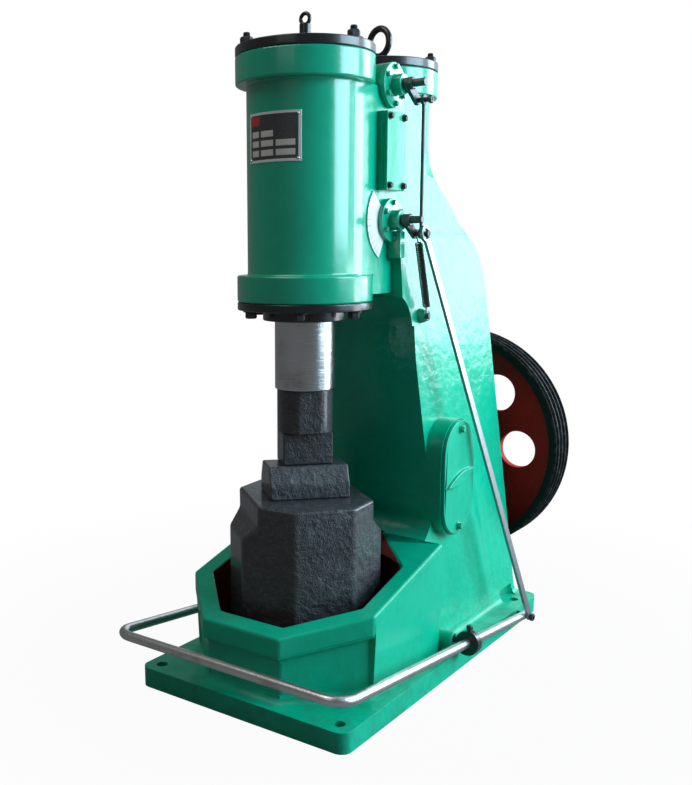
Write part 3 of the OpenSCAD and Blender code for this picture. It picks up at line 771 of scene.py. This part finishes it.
    def piece(self, name: str, body: Body, finish: Finish) -> None:
        """Turn the mesh into a piece that rides on a body.

        Args:
            name: Name of the piece.
            body: Body that it moves with.
            finish: Finish that it gets.
        """
        thing = self.loose(name, finish)
        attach(thing, body.value)

    def loose(self, name: str, finish: Finish, sharp: float = 38.0) -> bpy.types.Object:
        """Turn the mesh into a piece that rides on nothing yet.

        Args:
            name: Name of the piece.
            finish: Finish that it gets.
            sharp: Angle in degrees above which an edge stays sharp.

        Returns:
            The piece.
        """
        bmesh.ops.recalc_face_normals(self.mesh, faces=self.mesh.faces)
        data = bpy.data.meshes.new(name)
        self.mesh.to_mesh(data)
        self.mesh.free()
        data.polygons.foreach_set("use_smooth", [True] * len(data.polygons))
        data.set_sharp_from_angle(angle=math.radians(sharp))
        thing = bpy.data.objects.new(name, data)
        bpy.context.scene.collection.objects.link(thing)
        finish.dress(thing)
        LOG.info("piece %s: %d faces", name, len(data.polygons))
        return thing


def node(name: str) -> bpy.types.Object:
    """CAD object of a node."""
    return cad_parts[name]


WELD_GAP = 2e-5
FLAT_ANGLE = 0.4
FACE_WEIGHT = 80


def soften(thing: bpy.types.Object, width: float, angle: float, segments: int) -> None:
    """Round the edges of a CAD node with modifiers, which leave its mesh as it is.

    Args:
        thing: CAD object of the node.
        width: Width of the rounding.
        angle: Angle in degrees above which an edge is rounded.
        segments: Faces across the rounding.
    """
    weld = thing.modifiers.new("weld", "WELD")
    weld.merge_threshold = WELD_GAP
    flat = thing.modifiers.new("flat", "DECIMATE")
    flat.decimate_type = "DISSOLVE"
    flat.angle_limit = math.radians(FLAT_ANGLE)
    bevel = thing.modifiers.new("bevel", "BEVEL")
    bevel.limit_method = "ANGLE"
    bevel.angle_limit = math.radians(angle)
    bevel.width = width
    bevel.segments = segments
    bevel.use_clamp_overlap = True
    weighted = thing.modifiers.new("weighted", "WEIGHTED_NORMAL")
    weighted.weight = FACE_WEIGHT
    weighted.keep_sharp = False


def treat(finish: Finish, *names: str, edge: float = 0.0, angle: float = 32.0, segments: int = 3) -> None:
    """Finish CAD nodes and round their edges.

    Args:
        finish: Finish that they get.
        names: Names of the nodes.
        edge: Width of the rounding; 0 leaves the edges as they are.
        angle: Angle in degrees above which an edge is rounded.
        segments: Faces across the rounding.
    """
    for name in names:
        finish.dress(node(name))
        if edge:
            soften(node(name), edge, angle, segments)


GREEN_CAST = Enamel("green_enamel_cast", roughness=0.26, shine=0.32)
GREEN_COLUMN = ColumnEnamel("green_enamel_column", roughness=0.18, cast=1.5, coat=0.15, shine=0.3)
GREEN_SMOOTH = Enamel("green_enamel_smooth", roughness=0.17, cast=0.18, bottom_dark_share=0.0, coat=0.5)
GREEN_WELL = WellEnamel("green_enamel_well", roughness=0.26, cast=0.7, shine=0.32)
BLACK_PAINT = Enamel("black_paint", (0.016, 0.017, 0.018), (0.009, 0.01, 0.011), 0.22, 0.25, 0.0, 0.3)
ANVIL_SKIN = Forging("anvil_skin")
DIE_SKIN = Forging("die_skin", (0.034, 0.038, 0.043), (0.1, 0.105, 0.11), 0.8)
UPPER_SKIN = Forging("upper_die_skin", (0.012, 0.0135, 0.016), (0.05, 0.055, 0.06), 0.7)
ROD_STEEL = Steel("rod_steel", roughness=0.16)
PIPE_STEEL = Steel("pipe_steel", (0.6, 0.6, 0.58), (0.3, 0.29, 0.27), 0.26, (8.0, 8.0, 8.0))
BAR_STEEL = Steel("bar_steel_plate", (0.3, 0.31, 0.32), (0.2, 0.2, 0.19), 0.36, (30.0, 30.0, 1.0))
DARK_STEEL = Steel("dark_steel_oiled", (0.1, 0.1, 0.1), (0.05, 0.045, 0.04), 0.36, (6.0, 6.0, 6.0), 1.0, 0.85)
BOLT_BLACK = Steel("bolt_black", (0.05, 0.052, 0.055), (0.09, 0.07, 0.055), 0.42, (9.0, 9.0, 9.0), 1.2, 0.6)
PULLEY_PAINT = PulleyPaint("pulley_paint")
LABEL_PRINT = LabelPrint("label_print")
DIAL_PRINT = DialPrint("dial_print")


def round_place(y: float, radius: float, angle: float, z: float) -> Point:
    """Point on a level circle round the hammer's middle plane.

    Args:
        y: Middle of the circle.
        radius: Radius of the circle.
        angle: Angle in degrees, 0 at the front and 90 at the lever side.
        z: Height.

    Returns:
        The point.
    """
    a = math.radians(angle)
    return (radius * math.sin(a), y - radius * math.cos(a), z)


class Assembly:
    """Sub-assembly of the hammer: pieces of its own, and the finish of its CAD nodes."""

    def build(self) -> None:
        """Make the pieces that the CAD leaves out, where there are any."""

    def dress(self) -> None:
        """Finish the CAD nodes."""
        raise NotImplementedError


@dataclass
class Bed(Assembly):
    """Base plate and anvil well with their casting fillets."""

    base_t: float = 0.040
    wall_af: float = 0.404
    lip_af: float = 0.426
    column_front: float = 0.178
    rim_h: float = 0.226
    rim_tilt: float = 15.0
    lip_h: float = 0.040
    foot_cove: float = 0.018
    lip_cove: float = 0.010
    sink: float = 0.002
    fairing_top: float = 0.024
    fairing_drop: float = 0.010
    fairing_toe: float = 0.006
    fairing_back: float = 0.003
    fairing_bite: float = 0.001
    skin: float = 0.0004

    def corners(self) -> list[Vector]:
        """Corners of the well's plan at height 0, from the back left round the front to the back right."""
        half = self.wall_af / 2
        short = half * math.tan(math.pi / 8)
        right = [(short, -half), (half, -short), (half, self.column_front)]
        plan = [(-x, y) for x, y in reversed(right)] + right
        return [Vector((x, RAM_Y + y, 0.0)) for x, y in plan]

    def build(self) -> None:
        """Make the fillets at the foot of the well and under its lip, and the fairings at its sides."""
        plan, up = self.corners(), Vector(UP)
        fillets = Shape()
        fillets.cove([corner + up * self.base_t for corner in plan], up, self.foot_cove, self.sink)
        tilt = math.radians(self.rim_tilt)
        low = self.rim_h - self.lip_h / math.cos(tilt)
        under = [Vector((c.x, c.y, low + (c.y - RAM_Y) * math.tan(tilt))) for c in reversed(plan)]
        fillets.cove(under, -up, self.lip_cove, self.sink)
        fillets.piece("well_fillets", Body.FRAME, GREEN_WELL)
        fairings = Shape()
        for side, front, back in ((-1, under[-2], under[-1]), (1, under[1], under[0])):
            fairings.rings([self.fairing_loop(side, front.lerp(back, share)) for share in (0.0, 0.5, 1.0)])
        fairings.piece("well_fairings", Body.FRAME, GREEN_WELL)

    def fairing_loop(self, side: int, middle: Vector) -> list[Vector]:
        """Section of the wedge that blends the lip into a side wall.

        Args:
            side: 1 for the lever side and -1 for the other.
            middle: Point in the corner under the lip.

        Returns:
            The section's corners.
        """
        face, wall = self.lip_af / 2 + self.skin, self.wall_af / 2
        top, low = middle.z + self.fairing_top, self.base_t - self.fairing_bite
        section = [(wall - self.fairing_back, top), (face, top), (face, middle.z - self.fairing_drop)]
        section += [(wall + self.fairing_toe, low), (wall - self.fairing_back, low)]
        return [Vector((side * x, middle.y, z)) for x, z in section]

    def dress(self) -> None:
        """Finish the plate and the well."""
        treat(GREEN_CAST, "base_plate", edge=0.007, segments=4)
        treat(GREEN_WELL, "anvil_well", edge=0.006)


@dataclass
class Column(Assembly):
    """Column with its inspection cover and shaft housing."""

    base_t: float = 0.040
    foot_x: float = 0.194
    side_lean: float = 0.079
    front_y: float = 0.178
    rear_end: float = 0.612
    pocket: Pair = (0.527, 0.595)
    foot_cove: float = 0.014
    foot_sink: float = 0.004
    cover: Point = (0.200, RAM_Y + 0.272, 0.388)
    cover_h: float = 0.244
    cover_bolt: float = 0.013
    bolt_inset: float = 0.020
    stud: Point = (0.1375, RAM_Y + 0.206, 0.722)
    rear_y: float = RAM_Y + 0.253
    barrel_r: float = 0.108
    cone_top: float = 1.002
    flare_r: float = 0.105
    flare_skin: float = 0.0006
    flare_inset: float = 0.0002
    hollow_y: float = RAM_Y + 0.526
    hollow_z: float = 1.0377
    hollow_r: float = 0.165
    hollow_skin: float = 0.0004
    bulge_y: float = RAM_Y + 0.272
    bulge_z: float = 0.707
    bulge_r: float = 0.252
    turn_z: float = 0.9068
    strip_half: float = 0.1078
    strip_z: Pair = (0.893, 0.918)
    strip_skin: float = 0.0003
    strip_sink: float = 0.0002
    strip_t: float = 0.003

    def build(self) -> None:
        """Make the casting's fillets, the cover's bolts and the spring stud's boss."""
        x = self.foot_x - self.base_t * self.side_lean
        near, far = self.pocket
        paths = [
            [(x, self.front_y), (x, near)],
            [(x, far), (x, self.rear_end), (-x, self.rear_end), (-x, far)],
            [(-x, near), (-x, self.front_y)],
        ]
        fillet = Shape()
        for path in paths:
            line = [Vector((px, RAM_Y + py, self.base_t)) for px, py in path]
            fillet.cove(line, Vector(UP), self.foot_cove, self.foot_sink)
        fillet.piece("column_foot_fillet", Body.FRAME, GREEN_CAST)
        bolts = Shape()
        x, y, z = self.cover
        reach = self.cover_h / 2 - self.bolt_inset
        for sign in (-1, 1):
            bolts.bolt((x, y, z + sign * reach), RIGHT, self.cover_bolt, 0.3)
        bolts.piece("inspection_bolts", Body.FRAME, GREEN_SMOOTH)
        boss = Shape()
        profile = [(0.017, -0.008), (0.014, 0.004), (0.0125, 0.010), (0.0105, 0.012), (0.0062, 0.012)]
        boss.lathe(profile, self.stud, RIGHT, 32)
        boss.piece("stud_boss", Body.FRAME, GREEN_SMOOTH)
        shoulder = Shape()
        self.flare(shoulder)
        self.strip(shoulder)
        shoulder.piece("shoulder_fillet", Body.FRAME, GREEN_COLUMN)

    def back(self, z: float) -> float:
        """Where the column's back lies at a height, on the bulge or in the hollow above it."""
        if z < self.turn_z:
            return self.bulge_y + math.sqrt(self.bulge_r**2 - (z - self.bulge_z) ** 2)
        return self.hollow_y - math.sqrt(self.hollow_r**2 - (self.hollow_z - z) ** 2)

    def flare(self, shape: Shape) -> None:
        """Add the fillet that runs the shoulder's cone up into the compressor cylinder.

        Args:
            shape: Shape that it is added to.
        """
        steps, fan = 10, 24
        top = self.cone_top + self.flare_r * math.tan(math.pi / 8)
        half = self.barrel_r - self.flare_inset
        loops = []
        for i in range(steps + 1):
            a = math.pi / 4 * i / steps
            z = top - self.flare_r * math.sin(a)
            radius = self.barrel_r + self.flare_r * (1.0 - math.cos(a)) + self.flare_skin
            limit = self.back(min(z, self.hollow_z)) - self.rear_y + self.hollow_skin
            turns = [math.asin(half / radius) * k / fan for k in range(-fan, fan + 1)]
            arc = [(radius * math.sin(t), min(radius * math.cos(t), limit)) for t in turns]
            outline = [(-half, 0.0)] + arc + [(half, 0.0)]
            loops.append([Vector((x, self.rear_y + y, z)) for x, y in outline])
        shape.rings(loops)

    def strip(self, shape: Shape) -> None:
        """Add the thin skin over the line where the back's bulge turns into its hollow.

        Args:
            shape: Shape that it is added to.
        """
        count = 8
        low, high = self.strip_z
        levels = [low + (high - low) * i / count for i in range(count + 1)]
        skins = [-self.strip_sink] + [self.strip_skin] * (count - 1) + [-self.strip_sink]
        outer = [(self.back(z) + skin, z) for z, skin in zip(levels, skins)]
        inner = [(y - self.strip_t, z) for y, z in reversed(outer)]
        places = (-self.strip_half, 0.0, self.strip_half)
        shape.rings([[Vector((x, y, z)) for y, z in outer + inner] for x in places])

    def dress(self) -> None:
        """Finish the column and the pieces on it."""
        treat(GREEN_COLUMN, "column", edge=0.009, angle=50.0)
        treat(GREEN_CAST, "inspection_cover", edge=0.0025)
        treat(GREEN_CAST, "shaft_housing", edge=0.005)
        treat(DARK_STEEL, "spring_stud", edge=0.0012)


@dataclass
class Cylinders(Assembly):
    """Work and compressor cylinders with caps, gland and label."""

    cap_z: float = 1.215
    rear_y: float = RAM_Y + 0.253
    stud_r: float = 0.108
    front_studs: tuple[float, ...] = (-42.0, 86.0, 205.0)
    front_nut: float = 0.021
    rear_studs: tuple[float, ...] = (115.0, 235.0, 355.0)
    rear_nut: float = 0.019
    gland_z: float = 0.742
    gland_r: float = 0.110
    gland_bolts: int = 6
    gland_start: float = -31.0
    gland_bolt: float = 0.019
    label_r: float = 0.109
    label_low: float = 1.007
    label_h: float = 0.086
    rivet_angle: float = 28.0
    rivet_inset: float = 0.005
    rivet_sink: float = 0.0005
    barrel_r: float = 0.108
    barrel_z: Pair = (0.8065, 1.1485)

    def build(self) -> None:
        """Make the cap studs, the gland bolts, the label rivets and the fillets beside the chest."""
        caps = [(RAM_Y, self.front_studs, self.front_nut), (self.rear_y, self.rear_studs, self.rear_nut)]
        studs = Shape()
        for y, angles, flats in caps:
            for angle in angles:
                studs.stud(round_place(y, self.stud_r, angle, self.cap_z), UP, flats, angle)
        studs.piece("cap_studs", Body.FRAME, BOLT_BLACK)
        bolts = Shape()
        for i in range(self.gland_bolts):
            angle = 360.0 / self.gland_bolts * i + self.gland_start
            bolts.bolt(round_place(RAM_Y, self.gland_r, angle, self.gland_z), DOWN, self.gland_bolt, i)
        bolts.piece("gland_bolts", Body.FRAME, BOLT_BLACK)
        rivets = Shape()
        profile = [(0.0028, 0.0), (0.0026, 0.001), (0.0018, 0.0019), (0.0006, 0.0023)]
        for angle in (-self.rivet_angle, self.rivet_angle):
            for z in (self.label_low + self.rivet_inset, self.label_low + self.label_h - self.rivet_inset):
                at = round_place(RAM_Y, self.label_r - self.rivet_sink, angle, z)
                rivets.lathe(profile, at, round_place(0.0, 1.0, angle, 0.0), 14)
        rivets.piece("label_rivets", Body.FRAME, ROD_STEEL)
        strips = Shape()
        section = [(-0.010, -0.0006), (-0.004, 0.0001), (0.0, 0.00035), (0.027, 0.00035)]
        section += [(0.027, -0.008), (-0.010, -0.008)]
        for side in (-1, 1):
            outline = [(side * (self.barrel_r + out), RAM_Y + y) for y, out in section]
            strips.rings([[Vector((x, y, z)) for x, y in outline] for z in self.barrel_z])
        strips.piece("chest_fillets", Body.FRAME, GREEN_SMOOTH)

    def dress(self) -> None:
        """Finish the cylinders and the pieces on them."""
        treat(GREEN_SMOOTH, "work_cylinder", "compressor_cylinder", edge=0.004)
        treat(BLACK_PAINT, "front_cap", "rear_cap", "gland_plate", "gland_ring", edge=0.0025)
        treat(BLACK_PAINT, "front_eyebolt", "rear_eyebolt")
        treat(LABEL_PRINT, "nameplate")


@dataclass
class ValveGear(Assembly):
    """Valves, levers, link rod, cover plate, dial and return spring."""

    valve_y: float = RAM_Y + 0.120
    valve_z: Pair = (1.152, 0.907)
    flange_x: float = 0.120
    screws: int = 6
    screw_ring: float = 0.033
    screw_flats: float = 0.0085
    lever_face: float = 0.150
    pin_face: float = 0.172
    pin_y: float = RAM_Y + 0.1569
    pin_z: Pair = (1.1262, 0.8812)
    plate: Point = (0.129, RAM_Y + 0.113, 1.032)
    plate_size: Pair = (0.070, 0.142)
    plate_inset: float = 0.009
    plate_flats: float = 0.0095
    spring_x: float = 0.153
    stud: Pair = (RAM_Y + 0.206, 0.722)
    coil_r: float = 0.0066
    wire_r: float = 0.0013
    turns: int = 36
    turn_steps: int = 14
    ends: Pair = (0.016, 0.018)
    hooks: Pair = (0.0078, 0.0092)

    def build(self) -> None:
        """Make screws, nuts and the coiled spring."""
        screws = Shape()
        for z in self.valve_z:
            for i in range(self.screws):
                a = math.tau / self.screws * (i + 0.5)
                off_y, off_z = self.screw_ring * math.cos(a), self.screw_ring * math.sin(a)
                screws.bolt((self.flange_x, self.valve_y + off_y, z + off_z), RIGHT, self.screw_flats, i)
        screws.piece("valve_screws", Body.FRAME, GREEN_SMOOTH)
        corners = Shape()
        x, y, z = self.plate
        half_w, half_h = (size / 2 - self.plate_inset for size in self.plate_size)
        for sy in (-1, 1):
            for sz in (-1, 1):
                corners.bolt((x, y + sy * half_w, z + sz * half_h), RIGHT, self.plate_flats, sy + sz)
        corners.piece("cover_plate_screws", Body.FRAME, BOLT_BLACK)
        for body, z, pin in zip((Body.UPPER_LEVER, Body.LOWER_LEVER), self.valve_z, self.pin_z):
            nuts = Shape()
            nuts.hexagon((self.lever_face, self.valve_y, z), RIGHT, 0.022, 0.009, 0.4)
            nuts.hexagon((self.pin_face, self.pin_y, pin), RIGHT, 0.014, 0.006, 0.2)
            nuts.piece(body.value + "_nuts", body, DARK_STEEL)
        self.spring()

    def spring(self) -> None:
        """Make the coiled return spring with a hook at each end."""
        top = Vector((self.spring_x, self.pin_y, self.pin_z[1]))
        low = Vector((self.spring_x, *self.stud))
        along, side = (low - top).normalized(), Vector(RIGHT)
        across = along.cross(side)
        first, last = self.ends[0], (low - top).length - self.ends[1]
        steps, neck = self.turns * self.turn_steps, 10.0
        path = self.hook(top, along, across, self.hooks[0])
        for i in range(steps + 1):
            a = math.tau * self.turns * i / steps
            ease = min(1.0, i / neck, (steps - i) / neck)
            middle = top + along * (first + (last - first) * i / steps)
            radius = self.coil_r * (0.35 + 0.65 * ease)
            path.append(middle + (across * math.cos(a) + side * math.sin(a)) * radius)
        path += list(reversed(self.hook(low, -along, across, self.hooks[1])))
        shape = Shape()
        shape.tube(path, self.wire_r, 7)
        coil = shape.loose("return_spring", DARK_STEEL, 60.0)
        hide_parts("spring")
        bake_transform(coil)

    def hook(self, eye: Vector, along: Vector, across: Vector, radius: float) -> list[Vector]:
        """Wire bent round a pin, ending towards the coil.

        Args:
            eye: Middle of the pin.
            along: Direction from the pin to the coil.
            across: Direction across the coil.
            radius: Radius of the bend.

        Returns:
            Points from the free end to the coil.
        """
        steps, sweep = 18, math.radians(300.0)
        turns = [sweep * (i / steps - 0.5) for i in range(steps + 1)]
        return [eye - along * math.cos(a) * radius + across * math.sin(a) * radius for a in turns]

    def dress(self) -> None:
        """Finish the valve gear."""
        treat(GREEN_SMOOTH, "upper_valve", "lower_valve", edge=0.0018)
        treat(GREEN_CAST, "cover_plate", edge=0.0018)
        treat(DIAL_PRINT, "dial_plate")
        treat(DARK_STEEL, "lower_lever", "upper_lever", "link_rod", edge=0.0012)


@dataclass
class AnvilAndRam(Assembly):
    """Anvil, dies and ram."""

    anvil_edge: float = 0.006
    die_edge: float = 0.0035
    rod_edge: float = 0.002

    def dress(self) -> None:
        """Finish the anvil, the dies and the ram."""
        treat(ANVIL_SKIN, "anvil_block", edge=self.anvil_edge, angle=15.0)
        treat(DIE_SKIN, "lower_die", edge=self.die_edge, angle=20.0)
        treat(UPPER_SKIN, "upper_die", "ram_foot", edge=self.die_edge, angle=20.0)
        treat(ROD_STEEL, "ram_rod", edge=self.rod_edge)


@dataclass
class Treadle(Assembly):
    """Treadle pipe with its collars, bearing lugs and pull bar."""

    pivot: Pair = (RAM_Y + 0.205, 0.066)
    pipe_x: float = 0.262
    pipe_r: float = 0.0095
    collar_r: float = 0.025
    collar_sink: float = 0.001
    neck_r: float = 0.0052
    neck_h: float = 0.004
    rear: float = 0.290
    slope: float = 6.4
    bar_face: float = 0.2795
    rear_nut: float = 0.015

    def build(self) -> None:
        """Make the collars' set screws and the nuts at the rear end."""
        a = math.radians(self.slope)
        up = (0.0, math.sin(a), math.cos(a))
        bolts = Shape()
        for side in (-1, 1):
            collar = Vector((side * self.pipe_x, *self.pivot))
            seat = collar + Vector(up) * (self.collar_r - self.collar_sink)
            bolts.lathe([(self.neck_r, 0.0), (self.neck_r, self.neck_h)], tuple(seat), up, 16)
            bolts.hexagon(tuple(seat + Vector(up) * self.neck_h), up, 0.012, 0.008, 0.4)
        y = self.pivot[0] + self.rear * math.cos(a)
        z = self.pivot[1] - self.rear * math.sin(a)
        bolts.hexagon((self.bar_face, y, z), RIGHT, self.rear_nut, 0.007, 0.3)
        bolts.hexagon((self.pipe_x - self.pipe_r, y, z), LEFT, self.rear_nut, 0.006, 0.1)
        bolts.piece("treadle_bolts", Body.TREADLE, BOLT_BLACK)

    def dress(self) -> None:
        """Finish the treadle."""
        treat(PIPE_STEEL, "treadle")
        treat(BAR_STEEL, "pull_bar", edge=0.001)
        treat(DARK_STEEL, "pull_bar_bolt")
        treat(BLACK_PAINT, "treadle_pin_right", "treadle_pin_left", edge=0.003)
        treat(GREEN_CAST, "bearing_right", "bearing_left", edge=0.006)


@dataclass
class Drive(Assembly):
    """Grooved pulley on its shaft."""

    face_y: float = RAM_Y + 0.628
    width: float = 0.080
    axis_z: float = 0.386
    shaft_r: float = 0.0275
    hub_r: float = 0.065
    key_half: float = 0.007
    key_up: float = 0.005
    key_down: float = 0.006
    key_bevel: float = 0.0015
    screw_share: float = 0.86
    screw_sink: float = 0.0005

    def build(self) -> None:
        """Make the key and the set screw of the hub."""
        back, top = self.face_y + self.width, self.axis_z + self.shaft_r
        low = top - self.key_down
        loops = []
        for y, inset in ((self.face_y + 0.01, 0.0), (back - 0.001, 0.0), (back + 0.004, self.key_bevel)):
            half, high = self.key_half - inset, top + self.key_up - inset
            section = [(-half, low), (half, low), (half, high), (-half, high)]
            loops.append([Vector((x, y, z)) for x, z in section])
        key = Shape()
        key.rings(loops)
        key.piece("pulley_key", Body.PULLEY, ROD_STEEL)
        screw = Shape()
        middle = self.face_y + self.width * self.screw_share
        screw.hexagon((self.hub_r - self.screw_sink, middle, self.axis_z), RIGHT, 0.015, 0.01)
        screw.piece("pulley_set_screw", Body.PULLEY, BOLT_BLACK)

    def dress(self) -> None:
        """Finish the pulley and its shaft."""
        treat(PULLEY_PAINT, "pulley", edge=0.0025)
        treat(ROD_STEEL, "pulley_shaft", edge=0.002)


@dataclass
class Lamp:
    """One soft box."""

    name: str
    place: Point
    target: Point
    size: Pair
    power: float
    colour: Colour = EVEN

    def build(self) -> None:
        """Hang the lamp."""
        data = bpy.data.lights.new(self.name, "AREA")
        data.shape = "RECTANGLE"
        data.size, data.size_y = self.size
        data.energy = self.power
        data.color = self.colour
        thing = bpy.data.objects.new(self.name, data)
        bpy.context.scene.collection.objects.link(thing)
        thing.location = self.place
        aim = Vector(self.target) - Vector(self.place)
        thing.rotation_euler = aim.to_track_quat("-Z", "Y").to_euler()


@dataclass
class Studio:
    """Floor, lamps, world and camera."""

    camera_at: Point = (1.053, -1.741, 0.8575)
    azimuth: float = 37.59
    pitch: float = 10.16
    roll: float = -0.51
    focal_px: float = 974.13
    middle_px: Pair = (250.73, 422.60)
    image: tuple[int, int] = (692, 785)
    sensor: float = 36.0
    clip: Pair = (0.05, 60.0)
    floor_half: float = 9.0
    bright_side: Point = (0.42, 0.88, 0.2)
    edge: Pair = (0.3, 0.8)
    bright: Colour = (1.02, 1.25, 1.38)
    dim: Colour = (0.05, 0.05, 0.047)

    def build(self) -> None:
        """Set up the whole studio."""
        self.floor()
        self.world()
        self.camera()
        lamps = [
            Lamp("window_box", (1.5, 2.6, 1.5), (0.0, 0.0, 0.8), (1.1, 1.9), 58.0, (0.8, 1.0, 1.13)),
            Lamp("key_box", (2.6, 0.75, 1.7), (0.0, 0.0, 0.65), (1.8, 1.8), 92.0, (0.7, 1.0, 1.22)),
            Lamp("low_box", (1.3, 0.9, 0.5), (0.1, -0.1, 0.3), (0.5, 0.6), 6.0),
            Lamp("front_box", (0.2, -3.0, 2.4), (0.0, -0.2, 0.6), (1.6, 1.6), 5.0),
            Lamp("top_box", (-0.6, -1.3, 3.1), (-0.1, -0.3, 0.0), (1.6, 1.6), 20.0),
        ]
        for lamp in lamps:
            lamp.build()
        bpy.context.scene.view_settings.view_transform = "Standard"

    def floor(self) -> None:
        """Lay the pale floor."""
        shape = bmesh.new()
        half = self.floor_half
        corners = [(-half, -half, 0.0), (half, -half, 0.0), (half, half, 0.0), (-half, half, 0.0)]
        shape.faces.new([shape.verts.new(corner) for corner in corners])
        data = bpy.data.meshes.new("floor")
        shape.to_mesh(data)
        shape.free()
        thing = bpy.data.objects.new("floor", data)
        bpy.context.scene.collection.objects.link(thing)
        FloorPaint("floor_paint").dress(thing)

    def world(self) -> None:
        """Fill the world: white behind the object, bright windows' side and a dim room for light."""
        world = bpy.data.worlds.new("studio")
        bpy.context.scene.world = world
        world.use_nodes = True
        graph = Graph(world.node_tree)
        where = graph.add("ShaderNodeTexCoord", {}, {}, "Generated")
        toward = {0: where, 1: self.bright_side}
        side = graph.add("ShaderNodeVectorMath", {"operation": "DOT_PRODUCT"}, toward, "Value")
        room = graph.mix(side.rise(*self.edge), self.dim, self.bright)
        soft = graph.add("ShaderNodeBackground", {}, {"Color": room, "Strength": 1.0})
        white = graph.add("ShaderNodeBackground", {}, {"Color": EVEN, "Strength": 1.0})
        both = graph.add("ShaderNodeMixShader", {}, {0: backdrop_ray(graph), 1: soft, 2: white})
        graph.add("ShaderNodeOutputWorld", {}, {"Surface": both})

    def camera(self) -> None:
        """Place the camera as in the photograph, with the frame's own middle."""
        a, p, r = (math.radians(v) for v in (self.azimuth, self.pitch, self.roll))
        ahead = Vector((-math.sin(a) * math.cos(p), math.cos(a) * math.cos(p), -math.sin(p)))
        right = Vector((math.cos(a), math.sin(a), 0.0))
        up = right.cross(ahead)
        right, up = right * math.cos(r) + up * math.sin(r), up * math.cos(r) - right * math.sin(r)
        data = bpy.data.cameras.new("camera")
        width, height = self.image
        long_side = max(width, height)
        data.sensor_width = self.sensor
        data.lens = self.focal_px / long_side * self.sensor
        data.shift_x = (width / 2 - self.middle_px[0]) / long_side
        data.shift_y = (self.middle_px[1] - height / 2) / long_side
        data.clip_start, data.clip_end = self.clip
        thing = bpy.data.objects.new("camera", data)
        bpy.context.scene.collection.objects.link(thing)
        columns = Matrix((right, up, -ahead)).transposed()
        thing.matrix_world = Matrix.Translation(self.camera_at) @ columns.to_4x4()
        bpy.context.scene.camera = thing


def main() -> None:
    """Build every sub-assembly, then the studio."""
    logging.basicConfig(level=logging.INFO, format="%(message)s")
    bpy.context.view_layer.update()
    for part in (Bed(), Column(), Cylinders(), ValveGear(), AnvilAndRam(), Treadle(), Drive()):
        part.build()
        part.dress()
        LOG.info("dressed %s", type(part).__name__)
    Studio().build()


if __name__ == "__main__":
    main()
